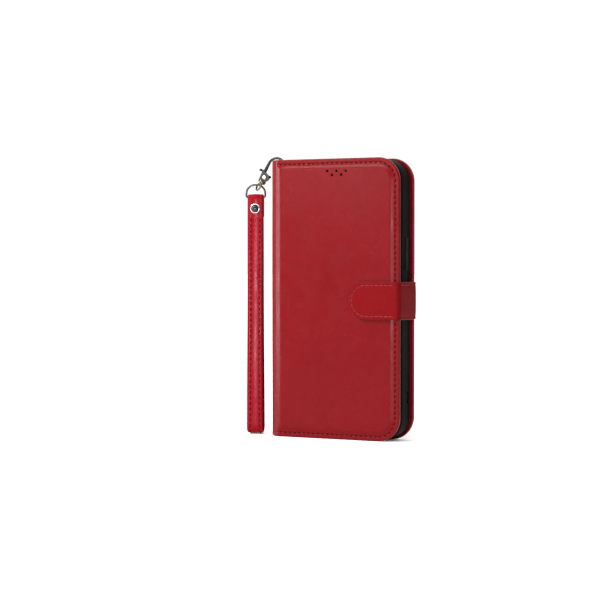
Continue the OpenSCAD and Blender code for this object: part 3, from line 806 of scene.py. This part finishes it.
def phone_shell():
    x0, _, z0 = SHELL_LOW
    x1, _, z1 = SHELL_HIGH
    cx, cz, w, h = (x0 + x1) / 2, (z0 + z1) / 2, x1 - x0, z1 - z0
    rings = []
    for y, inset in shell_levels():
        ring = shell_ring(w - 2 * inset, h - 2 * inset, max(SHELL_R - inset, 1.0), cx, cz)
        rings.append([(x, y, z) for x, z in ring])
    shell = make_object("phone_shell_soft", *loft(rings), [SHELL])
    cut(shell, *shell_openings(cx, x0, x1, z0))
    shade_smooth(shell.data, 38)
    place_piece(shell, "shell_black", "rear", "phone_shell")
    place_piece(window_rim(), "shell_black", "rear")


phone_shell()


def button(name, node, body):
    """Raised bar with soft edges and a slight dish along its middle."""
    low, high = box_mm(node)
    outward = 1 if high[0] > 0 else -1
    inner_x = low[0] if outward > 0 else high[0]
    outer_x = high[0] if outward > 0 else low[0]
    cy, cz = (low[1] + high[1]) / 2, (low[2] + high[2]) / 2
    w, h = high[1] - low[1], high[2] - low[2]
    span = abs(outer_x - inner_x)
    levels = [(0.0, 0.0), (span - 0.75, 0.0), (span - 0.4, 0.05), (span - 0.15, 0.22),
              (span, 0.55), (span - 0.1, 0.95), (span - 0.13, 1.3)]
    rings = [[(inner_x + outward * x, a, b) for a, b in rounded_box_outline(
        cy, cz, w - 2 * inset, h - 2 * inset, max(0.9 - inset * 0.6, 0.15), 8)]
        for x, inset in levels]
    place_piece(make_object(name, *loft(rings), [BUTTON]), "shell_black", body, node)


button("side_button_bar", "side_button_pad", "side_button")
button("volume_up_bar", "volume_up_pad", "volume_up")
button("volume_down_bar", "volume_down_pad", "volume_down")

# ---------- pockets inside the front cover ----------


POCKET_STEP = 0.7
POCKET_X1, POCKET_R, POCKET_T = 38.0, 4.0, 0.5
CASH_X0, CASH_Z0, CASH_Z1 = -32, 8, 152
CARD_X0, CARD_Z0, CARD_Z1 = (-24, -15, -6), 30, 126


def pocket(name, node, level, x0, z0, z1, sag):
    """Lining pocket: a thin sheet with a turned hem along its mouth, slightly bowed."""
    x1, r, thick = POCKET_X1, POCKET_R, POCKET_T
    y_low = FRONT_IN + level * POCKET_STEP + 0.02
    columns = [x0 + d for d in (0, 0.15, 0.4, 0.8, 1.3, 1.8, 2.1, 2.4, 3.2, 4.5)]
    columns += list(np.linspace(x0 + 6, x1 - r, 22))
    columns += [x for x, _ in arc(x1 - r, 0, r, 80, 0, 9)]
    outer, inner = [], []
    for x in columns:
        into = max(0.0, x - (x1 - r))
        drop = r - math.sqrt(max(r * r - into * into, 0))
        lo, hi = z0 + drop, z1 - drop
        off = np.array([0, 0.12, 0.3, 0.6, 1.0, 1.6, 2.4, 3.4])
        z = np.concatenate([lo + off, np.linspace(lo + 5, hi - 5, 36), hi - off[::-1]])
        d = np.minimum(z - lo, hi - z)
        d = np.minimum(d, x1 - x)
        across = (z - (z0 + z1) / 2) / ((z1 - z0) / 2)
        bow = sag * ridge(x, x0, 14) * (1 - across ** 2)
        gap = 0.2 * smooth_step(d / 2.2)
        hem = 0.1 * ridge(x, x0 + 2.1, 0.3)
        round_edge = 0.22 * (1 - smooth_step(np.minimum(d, 0.7) / 0.7))
        round_mouth = 0.2 * (1 - smooth_step((x - x0) / 0.4))
        y = y_low + gap + bow
        outer.append(np.stack([np.full_like(z, x), y + thick - hem - round_edge - round_mouth, z],
                              -1))
        inner.append(np.stack([np.full_like(z, x), y + round_mouth * 0.5, z], -1))
    verts, faces, marks = closed_sheet(np.array(outer), np.array(inner), bulge=0.08,
                                       wall_steps=3, open_start=False)
    obj = make_object(name, verts, faces, [LINING, RED_EDGE], [1 if k == 2 else 0 for k in marks],
                      sharp=60)
    place_piece(obj, "lining", "front", node)


pocket("cash_sleeve", "cash_pocket", 0, CASH_X0, CASH_Z0, CASH_Z1, 0.12)
for number, (x0, sag) in enumerate(zip(CARD_X0, (0.1, 0.1, 0.12)), 1):
    pocket(f"card_sleeve_{number}", f"card_slot_{number}", number, x0, CARD_Z0, CARD_Z1, sag)


def pocket_thread():
    """Stitches round the top card sleeve, along the edges of the others and down the cash sleeve."""
    parts = Parts()
    seam_x, low, high, r = POCKET_X1 - 1, CARD_Z0 + 1, CARD_Z1 - 1, POCKET_R - 1
    start = CARD_X0[2] + 2
    line = [(start, high)]
    line += [(x, high) for x in np.linspace(start + 2, seam_x - r, 20)]
    line += arc(seam_x - r, high - r, r, 90 - math.degrees(0.1), 90 - math.degrees(1.5), 8)
    line += [(seam_x, z) for z in np.linspace(high - r - 1, low + r + 1, 40)]
    line += arc(seam_x - r, low + r, r, -math.degrees(0.1), -math.degrees(1.5), 8)
    line += [(x, low) for x in np.linspace(seam_x - r, start, 20)]
    top = FRONT_IN + 4 * POCKET_STEP + 0.03
    for (x, z), (dx, dz) in even_points(line, STITCH_PITCH):
        stitch(parts, (x, top, z), (dx, 0, dz), (0, 1, 0), 2.2, 0.2, 0.04, 0.22)
    for level, x0, stop, z0, z1 in ((0, CASH_X0, 36, CASH_Z0, CASH_Z1),
                                    (1, CARD_X0[0], CARD_X0[1], CARD_Z0, CARD_Z1),
                                    (2, CARD_X0[1], CARD_X0[2], CARD_Z0, CARD_Z1)):
        y = FRONT_IN + level * POCKET_STEP + 0.62
        for z in (z0 + 1, z1 - 1):
            for x in np.arange(x0 + 2.2, stop - 1.4, STITCH_PITCH):
                stitch(parts, (x + 0.9, y, z), (1, 0, 0), (0, 1, 0), 2.1, 0.18, 0.0, 0.2)
    for z in np.arange(CASH_Z0 + 4, CASH_Z1 - 2, STITCH_PITCH):
        stitch(parts, (seam_x, FRONT_IN + 0.62, z), (0, 0, 1), (0, 1, 0), 2.1, 0.18, 0.0, 0.2)
    place_piece(parts.build("pocket_thread", [THREAD]), "thread", "front", "pocket_stitching")


pocket_thread()

# ---------- clasp ----------

CLASP_HALF = 11.0
ROUND_X = 24.0
BRIDGE_OUT, BRIDGE_IN = 46.6, 45.2
TAB_OUT, TAB_IN = -22.4, -20.0
ROOT_X, ROOT_Y = 44.6, -0.85
CLASP_INSET = 1.9


def clasp_section():
    """Stations of the clasp strap from the rear cover round to the tip: outer and inner points."""
    stations = list(zip(arc(ROOT_X, ROOT_Y, BRIDGE_OUT - ROOT_X, 90, 0, 9),
                        arc(ROOT_X, ROOT_Y, BRIDGE_IN - ROOT_X, 90, 0, 9)))
    split = len(stations) + 9
    for y in (*np.linspace(-1.8, -10, 10), *np.linspace(-10.8, -18.4, 9)):
        stations.append(((BRIDGE_OUT, y), (BRIDGE_IN, y)))
    stations += zip(arc(BRIDGE_OUT - 3, TAB_OUT + 3, 3, 0, -90, 13),
                    arc(BRIDGE_IN - 0.8, TAB_IN + 0.8, 0.8, 0, -90, 13))
    round_end = [ROUND_X - CLASP_HALF * math.sin(math.radians(90 * k / 20)) for k in range(1, 21)]
    for x in (*np.linspace(43, ROUND_X, 20)[1:], *round_end):
        stations.append(((x, TAB_OUT), (x, TAB_IN)))
    return stations, split


def clasp_piece(name, stations, front):
    """Padded strap with rolled edges and a stitch channel, from the stations of its section."""
    outer, inner = [], []
    rows = np.array([0, 0.07, 0.18, 0.32, 0.5, 0.75, 1.1, 1.45, 1.7, 1.9, 2.1, 2.4, 2.9, 3.6, 4.6,
                     6, 8])
    for (ox, oy), (ix, iy) in stations:
        into = max(0.0, ROUND_X - ox) if oy < TAB_IN else 0.0
        half = math.sqrt(max(CLASP_HALF ** 2 - into ** 2, 1e-4))
        side = rows / CLASP_HALF * half if into > 6 else np.minimum(rows, half * 0.95)
        z = np.sort(np.concatenate([side - half, half - side]))
        d = np.maximum(CLASP_HALF - (np.hypot(into, z) if into > 0 else np.abs(z)), 0)
        ax, ay = np.array((ox - ix, oy - iy)) / math.hypot(ox - ix, oy - iy)
        drop = edge_roll(d, 0.6)
        out = -drop - 0.12 * ridge(d, CLASP_INSET, 0.4) + 0.12 * smooth_step((d - 2.2) / 4) - 0.12
        edge = np.minimum(drop * 0.9, 0.5)
        outer.append(np.stack([ox + ax * out, oy + ay * out, CLASP_Z + z], -1))
        inner.append(np.stack([ix + ax * edge, iy + ay * edge, CLASP_Z + z], -1))
    step = 1 if front else -1
    verts, faces, marks = closed_sheet(np.array(outer)[::step], np.array(inner)[::step],
                                       bulge=0.1, wall_steps=4)
    # The clasp's walls take the lightened edge paint, a painted highlight on its rims.
    obj = make_object(name, verts, faces, [RED_CLASP, LINING, CLASP_EDGE_PAINT_AND_HIGHLIGHT], marks, sharp=60)
    return obj


clasp_stations, clasp_split = clasp_section()
clasp_rear = clasp_piece("clasp_strap_rear", clasp_stations[:clasp_split + 1], False)
clasp_front = clasp_piece("clasp_strap_front", clasp_stations[clasp_split:], True)
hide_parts("clasp_root_fold")
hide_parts("clasp_bridge_leather", "clasp_bridge_lining", "clasp_corner_fold",
            "clasp_tab_leather", "clasp_tab_lining")
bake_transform(clasp_rear)
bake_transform(clasp_front)


def clasp_thread():
    """Row of stitches round the tab, and along both edges of the bridge."""
    tab, bridge = Parts(), Parts()
    r = CLASP_HALF - CLASP_INSET
    line = [(x, r) for x in np.linspace(42.5, ROUND_X, 20)]
    line += [(ROUND_X - r * math.sin(a), r * math.cos(a)) for a in np.linspace(0.1, 3.04, 30)]
    line += [(x, -r) for x in np.linspace(ROUND_X, 42.5, 20)]
    thread_form = (2.2, 0.21, 0.06, 0.22)
    for (x, z), (dx, dz) in even_points(line, CLASP_PITCH):
        stitch(tab, (x, TAB_OUT + 0.14, CLASP_Z + z), (dx, 0, dz), (0, -1, 0), *thread_form)
    for side in (-1, 1):
        for y in np.arange(-17.5, -2.5, CLASP_PITCH):
            stitch(bridge, (BRIDGE_OUT - 0.14, y, CLASP_Z + side * r), (0, 1, 0), (1, 0, 0),
                   *thread_form)
    # The clasp's stitches take the lightened thread, a painted highlight.
    place_piece(tab.build("clasp_tab_thread", [THREAD_CLASP_PAINTED_HIGHLIGHT]), "thread", "clasp_tab",
                "clasp_stitching")
    place_piece(bridge.build("clasp_bridge_thread", [THREAD_CLASP_PAINTED_HIGHLIGHT]), "thread", "clasp_bridge")


clasp_thread()

# ---------- hook, gate, swivel and ring ----------

LOOP = np.array((FOLD_X, MID_Y, 162.5))
HOOK_R = 6.15
LEAN = math.radians(41)
HOOK_AXIS = np.array((math.sin(LEAN), 0, math.cos(LEAN)))
SWIVEL = np.array((-54.6, MID_Y, 154.0))
GATE = np.array((-51.7, MID_Y, 157.1))
ARM_ANGLE, ARM_LEN = 149, 11.2
EYE_R, EYE_DROP, EYE_WIRE = 2.4, 3.2, 0.55
AXIS_Y = (0, 1, 0)


def fuse(obj, voxel, smooth=3):
    """Melts the parts of obj into one cast shape."""
    remesh = obj.modifiers.new("remesh", "REMESH")
    remesh.mode = "VOXEL"
    remesh.voxel_size = voxel * MM
    remesh.use_smooth_shade = True
    relax = obj.modifiers.new("relax", "SMOOTH")
    relax.iterations = smooth
    relax.factor = 0.5
    materials = list(obj.data.materials)
    settle(obj)
    if not obj.data.materials:
        for m in materials:
            obj.data.materials.append(m)
    obj.data.polygons.foreach_set("use_smooth", [True] * len(obj.data.polygons))


def loop_point(angle):
    a = math.radians(angle)
    return LOOP + np.array((HOOK_R * math.cos(a), 0, HOOK_R * math.sin(a)))


def at_gate(x, z, y=0.0):
    """A point given from the pivot of the gate."""
    return GATE + np.array((x, y, z))


def hook():
    """Wire loop, arm, cheek plate and swivel housing cast in one, with a bronze collar."""
    parts = Parts()
    path = [loop_point(a) for a in np.linspace(-116, ARM_ANGLE - 8, 54)]
    radii = list(np.linspace(0.72, 0.66, 30)) + list(np.linspace(0.66, 0.84, 24))
    arm = math.radians(ARM_ANGLE)
    direction = np.array((-math.sin(arm), 0, math.cos(arm)))
    for t in np.linspace(0, 1, 14):
        path.append(loop_point(ARM_ANGLE) + direction * ARM_LEN * t)
        radii.append(0.9 + 0.14 * math.sin(math.pi * t))
    parts.add(*tube(path, radii, 20, flat=(0.95, 1.0), up=AXIS_Y))
    outline = [(-4.4, -1.9), (-3.0, -2.9), (-0.4, -3.3), (2.4, -2.2), (3.4, -0.9), (3.3, 0.8),
               (2.1, 1.8), (-0.6, 4.6), (-1.6, 3.4)]
    plate = [(GATE[0] + x, GATE[2] + z) for x, z in outline]
    parts.add(*prism(plate, MID_Y - 1.7, MID_Y - 0.78))
    parts.add(*lathe([(1.5, -0.2), (2.0, -0.1), (2.2, 0.5), (2.2, 1.6), (1.9, 2.3), (1.5, 2.6)],
                     SWIVEL, HOOK_AXIS))
    body = parts.build("hook_casting", [GUNMETAL])
    fuse(body, 0.12, 3)
    hollow = plain_cutter(*lathe([(0.9, -1.5), (0.9, 2.3)], SWIVEL, HOOK_AXIS, 32))
    seat = plain_cutter(*lathe([(1.62, -0.76), (1.62, 4)], GATE, AXIS_Y, 40))
    cut(body, hollow, seat)
    shade_smooth(body.data, 50)
    place_piece(body, "gunmetal", "hook", "hook_body")
    collar = lathe([(1.0, -0.24), (2.0, -0.24), (2.3, -0.1), (2.4, 0.15), (2.4, 1.2), (2.3, 1.45),
                    (2.1, 1.5), (2.0, 1.3), (2.0, -0.02), (1.0, -0.06)], SWIVEL, HOOK_AXIS, 48)
    place_piece(make_object("hook_collar", *collar, [BRONZE]), "swivel_metal", "hook")


def gate():
    """Hub, closing bar, cranked lever and thumb piece, cast in one."""
    parts = Parts()
    parts.add(*lathe([(1.0, -0.6), (1.3, -0.48), (1.35, 1.55), (1.2, 1.72)], GATE, AXIS_Y))
    bar = [at_gate(3.75 * t, 0.1 - 0.05 * t) for t in np.linspace(0.1, 1, 8)]
    parts.add(*tube(bar, [1.2, 1.18, 1.1, 1.0, 0.92, 0.85, 0.78, 0.68], 16, flat=(0.5, 1.0),
                    up=AXIS_Y))
    lever = [(0, 0.4), (-0.6, 1.5), (-1.15, 2.5), (-1.7, 3.2), (-2.4, 3.75), (-3.1, 4.2),
             (-3.8, 4.7)]
    parts.add(*tube([at_gate(x, z, 1.37) for x, z in lever],
                    [0.85, 0.8, 0.75, 0.74, 0.72, 0.72, 0.7], 14, flat=(0.42, 1.0), up=AXIS_Y))
    thumb = [at_gate(*lever[-1], y) for y in np.linspace(-0.33, 1.68, 7)]
    parts.add(*tube(thumb, [0.55, 0.72, 0.78, 0.78, 0.78, 0.74, 0.6], 16, up=(0.7, 0, 0.7)))
    obj = parts.build("gate_casting", [GUNMETAL])
    fuse(obj, 0.11, 2)
    place_piece(obj, "gunmetal", "gate", "hook_gate")


def rivets():
    """Pivot rivet of the gate, with its torsion spring beside it."""
    rivet = lathe([(0.3, -2.28), (0.8, -2.2), (1.15, -2.0), (1.3, -1.75), (1.3, -1.68),
                   (0.68, -1.66), (0.68, 1.74), (1.2, 1.76), (1.2, 1.95), (1.0, 2.15),
                   (0.4, 2.25)], GATE, AXIS_Y)
    place_piece(make_object("gate_pivot_rivet", *rivet, [NICKEL]), "bright_metal", "hook",
                "gate_rivet")
    steps = 24
    path = []
    for k in range(70):
        a = 2 * math.pi * k / steps
        path.append(at_gate(1.52 * math.cos(a), 1.52 * math.sin(a), 1.78 + 0.26 * k / steps))
    coil = tube(path, 0.11, 8, up=AXIS_Y)
    place_piece(make_object("gate_torsion_spring", *coil, [STEEL]), "plain_steel", "hook",
                "gate_spring")


def swivel():
    """Shank with its head inside the housing, and the eye that carries the ring."""
    parts = Parts()
    parts.add(*lathe([(1.1, -1.2), (1.3, -1.0), (1.3, -0.45), (1.0, -0.34), (0.78, -0.25),
                      (0.78, 1.1), (1.3, 1.3), (1.4, 1.6), (1.1, 2.05)], SWIVEL, HOOK_AXIS))
    centre = SWIVEL - HOOK_AXIS * EYE_DROP
    turn = math.radians(-40)
    across = np.array((math.cos(LEAN) * math.cos(turn), math.sin(turn),
                       -math.sin(LEAN) * math.cos(turn)))
    path = [centre + EYE_R * (math.cos(a) * across + math.sin(a) * HOOK_AXIS)
            for a in np.linspace(0, 2 * math.pi, 49)[:-1]]
    parts.add(*tube(path, EYE_WIRE, 16, closed=True))
    obj = parts.build("swivel_loop", [BRONZE])
    fuse(obj, 0.11, 3)
    place_piece(obj, "swivel_metal", "swivel", "swivel_eye")


hook()
gate()
rivets()
swivel()

STRAP_TURN = math.radians(20)
RING_X, RING_TOP, RING_BAR = -58.7, 152.6, 145.0
ALONG = np.array((math.cos(STRAP_TURN), math.sin(STRAP_TURN), 0))
THROUGH = np.array((-math.sin(STRAP_TURN), math.cos(STRAP_TURN), 0))


def strap_point(u, v, z):
    """u across the strap, v through it, z up."""
    return np.array((RING_X, MID_Y, 0)) + ALONG * u + THROUGH * v + np.array((0, 0, z))


def d_ring():
    """Wire ring with round shoulders and a straight bar that the strap hangs from."""
    half, shoulder, foot = 5.85, 5.2, 1.0
    flat, high, low = half - shoulder, RING_TOP - shoulder, RING_BAR + foot
    short = math.degrees(0.08)
    path = [(x, RING_TOP) for x in np.linspace(-flat, flat, 5)]
    path += arc(flat, high, shoulder, 90 - short, 0, 20)
    path += [(half, z) for z in np.linspace(high - 0.3, low, 5)]
    path += arc(half - foot, low, foot, -math.degrees(0.2), -90, 7)
    path += [(x, RING_BAR) for x in np.linspace(half - foot - 0.5, -half + foot + 0.5, 14)]
    path += arc(-half + foot, low, foot, -90, -180, 7)
    path += [(-half, z) for z in np.linspace(low + 0.3, high, 5)]
    path += arc(-flat, high, shoulder, 180 - short, 90 + short, 20)
    wire = tube([strap_point(x, 0, z) for x, z in path], 0.6, 18, closed=True, up=THROUGH)
    place_piece(make_object("wire_ring", *wire, [RING_METAL]), "bright_metal", "ring", "d_ring")


d_ring()

# ---------- wrist strap ----------

STRAP_T, STRAP_W = 1.3, 9.8
TAIL_Z, RIVET_Z = 133.1, 138.2
LOOP_LOW = 4.8
LOOP_MID = 3.85
LOOP_V = -0.3
PLY = 1.4
STRAP_INSET = 2.0


def strap_path():
    """Middle line of the strap: (through, height) from the tail behind, over the ring, down the
    front, round the wrist loop and up again to the rivet."""
    over = math.degrees(0.26)
    path = [(PLY, z) for z in np.linspace(TAIL_Z, RING_BAR, 9)]
    path += arc(0, RING_BAR, PLY, over, 180 - over, 11)
    path += [(-PLY, z) for z in (RING_BAR, *np.linspace(RING_BAR - 1.7, TAIL_Z, 7))]
    bottom = LOOP_V - LOOP_MID
    for t in np.linspace(0, 1, 62)[1:]:
        z = TAIL_Z + (LOOP_LOW - TAIL_Z) * t
        ease = t - 0.035 * math.sin(2 * math.pi * t)
        path.append((-PLY + (bottom + PLY) * ease, z))
    round_from = 180 + math.degrees(0.15)
    path += arc(LOOP_V, LOOP_LOW, LOOP_MID, round_from, 540 - round_from, 20)
    top = LOOP_V + LOOP_MID
    for t in np.linspace(0, 1, 62):
        path.append((top * (1 - t), LOOP_LOW + (TAIL_Z - LOOP_LOW) * t))
    path += [(0.0, z) for z in np.linspace(TAIL_Z + 1.4, RING_BAR - 2.7, 6)]
    return np.array(path)


def strap_width(z):
    """Half the width of the strap, a little narrower half way down."""
    return STRAP_W / 2 * (1 - 0.035 * math.exp(-((z - 75) / 38) ** 2))


def wrist_strap():
    """Folded strip of leather with rolled edges, crown and two stitch channels."""
    path = strap_path()
    tangent = np.gradient(path, axis=0)
    tangent /= np.linalg.norm(tangent, axis=1)[:, None]
    outward = np.stack([tangent[:, 1], -tangent[:, 0]], -1)
    across = np.array([0, 0.06, 0.16, 0.3, 0.5, 0.8, 1.2, 1.5, 1.75, 2.0, 2.25, 2.5, 2.9, 3.5, 4.1])
    outer, inner = [], []
    for (v, z), (ov, oz) in zip(path, outward):
        half = strap_width(z)
        u = np.concatenate([across - half, [0.0], (half - across)[::-1]])
        d = half - np.abs(u)
        drop = edge_roll(d, 0.45)
        crown = 0.1 * smooth_step((d - 2.3) / 2.2) - 0.3 * np.maximum(1 - d / 2.0, 0) ** 1.6
        ripple = 0.03 * soft_noise(u * 3, z, 21) * smooth_step(d)
        groove = 0.12 * ridge(d, STRAP_INSET, 0.4)
        top = STRAP_T / 2 - 0.08 - drop - groove + crown + ripple
        low = STRAP_T / 2 - 0.05 - drop * 0.8
        outer.append([strap_point(a, v + ov * h, z + oz * h) for a, h in zip(u, top)])
        inner.append([strap_point(a, v - ov * h, z - oz * h) for a, h in zip(u, low)])
    verts, faces, marks = closed_sheet(np.array(outer), np.array(inner), bulge=0.08, wall_steps=4,
                                       open_start=False)
    strap = make_object("wrist_strap", verts, faces, [STRAP, STRAP, STRAP_EDGE], marks, sharp=60)
    cut(strap, plain_cutter(*lathe([(1.2, -4), (1.2, 4)], strap_point(0, 0, RIVET_Z), THROUGH,
                                   32)))
    shade_smooth(strap.data, 50)
    place_piece(strap, "strap_red", "strap", "strap_leather")
    strap_thread(path, tangent, outward)


def strap_thread(path, tangent, outward):
    """Two rows of stitches, from below the rivet round the wrist loop and up again."""
    parts = Parts()
    run = np.concatenate([[0], np.cumsum(np.linalg.norm(np.diff(path, axis=0), axis=1))])
    lift = STRAP_T / 2 - 0.16
    for s in np.arange(run[28], run[-8], STITCH_PITCH):
        k = int(np.searchsorted(run, s)) - 1
        t = (s - run[k]) / (run[k + 1] - run[k])
        v, z = path[k] * (1 - t) + path[k + 1] * t
        (tv, tz), (ov, oz) = tangent[k], outward[k]
        for side in (-1, 1):
            u = side * (strap_width(z) - STRAP_INSET)
            stitch(parts, strap_point(u, v + ov * lift, z + oz * lift),
                   THROUGH * tv + np.array((0, 0, tz)), THROUGH * ov + np.array((0, 0, oz)),
                   2.1, 0.4, 0.06, 0.22)
    place_piece(parts.build("wrist_strap_thread", [THREAD_STRAP]), "thread", "strap",
                "strap_stitching")


wrist_strap()


def strap_rivet():
    """Black domed snap in a bright rim, with its post and back cap."""
    face = strap_point(0, -2.05, RIVET_Z)
    rim = [(2.0, -0.05), (2.85, 0.0), (3.02, 0.22), (2.95, 0.5), (2.72, 0.64), (2.45, 0.58),
           (2.3, 0.32), (1.9, 0.3)]
    cap = [(2.25, 0.05), (2.28, 0.42), (2.2, 0.68), (2.0, 0.95), (1.65, 1.2), (1.2, 1.38),
           (0.7, 1.47), (0.2, 1.5)]
    post = [(0.3, -4.62), (2.0, -4.6), (2.6, -4.45), (2.8, -4.25), (2.75, -4.12), (1.15, -4.1),
            (1.15, 0.1)]
    for profile, sides, name, material, node, slot in (
            (rim, 56, "snap_rim", NICKEL, "strap_rivet_rim", "bright_metal"),
            (cap, 56, "snap_dome", ENAMEL, "strap_rivet_cap", "rivet_black"),
            (post, 48, "snap_post", NICKEL, "strap_rivet_post", "bright_metal")):
        obj = make_object(name, *lathe(profile, face, -THROUGH, sides), [material])
        place_piece(obj, slot, "strap", node)


strap_rivet()

# ---------- CAD nodes that stay, inside the leather ----------

for node, material in (("rear_board", BOARD), ("spine_board", BOARD), ("front_board", BOARD),
                       ("clasp_tab_board", BOARD), ("front_foam", FOAM),
                       ("keeper_plate", STEEL), ("clasp_magnet", STEEL)):
    shown = frame["nodes"][node]
    shown.data.materials.clear()
    shown.data.materials.append(material)

# ---------- floor, light and camera ----------

FLOOR_Z = -0.05


def floor():
    """Wide disc of pale paper, in rings that grow outwards."""
    sides, rings = 96, (0.3, 0.8, 2.0, 5.0, 12.0)
    points = [(0, 0, 0)]
    for r in rings:
        points += [(x, y, 0) for x, y in arc(0, 0, r, 0, 360, sides + 1)[:-1]]
    faces = [(0, 1 + k, 1 + (k + 1) % sides) for k in range(sides)]
    for i in range(len(rings) - 1):
        a, b = 1 + i * sides, 1 + (i + 1) * sides
        faces += [(a + k, b + k, b + (k + 1) % sides, a + (k + 1) % sides) for k in range(sides)]
    points = [(x / MM, y / MM, FLOOR_Z) for x, y, z in points]
    s = Shader("floor_paper", (0.95, 0.95, 0.95), 0.9, Specular_IOR_Level=0.1)
    s.color(s.mix(s.ramp(s.noise(4, 3), 0.3, 0.7), (0.94, 0.94, 0.94), (0.96, 0.96, 0.96)))
    make_object("floor", points, faces, [s.material])


floor()


def area_light(name, place, aim, size, power):
    data = bpy.data.lights.new(name, "AREA")
    data.shape = "RECTANGLE"
    data.size, data.size_y = size
    data.energy = power
    obj = bpy.data.objects.new(name, data)
    obj.location = place
    obj.rotation_euler = (Vector(aim) - Vector(place)).to_track_quat("-Z", "Y").to_euler()
    bpy.context.scene.collection.objects.link(obj)


area_light("left_strip", (-0.85, -0.46, 0.1), (-0.04, -0.01, 0.085), (0.09, 0.6), 9.5)
area_light("high_front_left", (-0.3, -0.5, 0.56), (0, -0.01, 0.16), (0.6, 0.14), 7.6)
area_light("front_left_fill", (-0.36, -0.72, 0.25), (0.02, -0.01, 0.15), (0.25, 0.12), 1.2)
area_light("strap_card", (0.13, -0.98, 0.09), (-0.058, -0.01, 0.1), (0.1, 0.12), 3.2)


def room():
    """White room, brighter overhead, with a dark panel behind on the right that keeps the side
    faces deep."""
    world = bpy.data.worlds.new("soft_room")
    bpy.context.scene.world = world
    world.use_nodes = True
    nodes, links = world.node_tree.nodes, world.node_tree.links
    background = nodes["Background"]
    where = nodes.new("ShaderNodeTexCoord").outputs["Generated"]

    def ranged(value, low, high, start, end):
        node = nodes.new("ShaderNodeMapRange")
        for key, v in (("From Min", low), ("From Max", high), ("To Min", start), ("To Max", end)):
            node.inputs[key].default_value = v
        links.new(value, node.inputs["Value"])
        return node

    toward = nodes.new("ShaderNodeVectorMath")
    toward.operation = "DOT_PRODUCT"
    toward.inputs[1].default_value = (0.616, 0.788, 0.0)
    links.new(where, toward.inputs[0])
    panel = ranged(toward.outputs["Value"], 0.885, 0.972, 1.05, 0.12)
    panel.interpolation_type = "SMOOTHSTEP"
    upward = nodes.new("ShaderNodeSeparateXYZ")
    links.new(where, upward.inputs[0])
    ceiling = ranged(upward.outputs["Z"], 0.35, 1.0, 0.0, 0.7)
    total = nodes.new("ShaderNodeMath")
    links.new(panel.outputs["Result"], total.inputs[0])
    links.new(ceiling.outputs["Result"], total.inputs[1])
    links.new(total.outputs["Value"], background.inputs["Strength"])
    background.inputs["Color"].default_value = (1, 1, 1, 1)


room()

AZIMUTH = math.radians(28.7)
DISTANCE = 1200.0
ORBIT = np.array((0, MID_Y, 82.7))
EYE_RISE = 25.2
AIM_LEFT = 23.86
camera_data = bpy.data.cameras.new("camera")
camera = bpy.data.objects.new("camera", camera_data)
bpy.context.scene.collection.objects.link(camera)
place = ORBIT + DISTANCE * np.array((math.sin(AZIMUTH), -math.cos(AZIMUTH), 0))
place[2] += EYE_RISE
aim = ORBIT - AIM_LEFT * np.array((math.cos(AZIMUTH), math.sin(AZIMUTH), 0))
camera.location = Vector(place * MM)
camera.rotation_euler = Vector((aim - place) * MM).to_track_quat("-Z", "Y").to_euler()
camera_data.lens = 120.2
camera_data.sensor_width = 36
camera_data.clip_start = 0.01
bpy.context.scene.camera = camera
bpy.context.scene.view_settings.view_transform = "Standard"
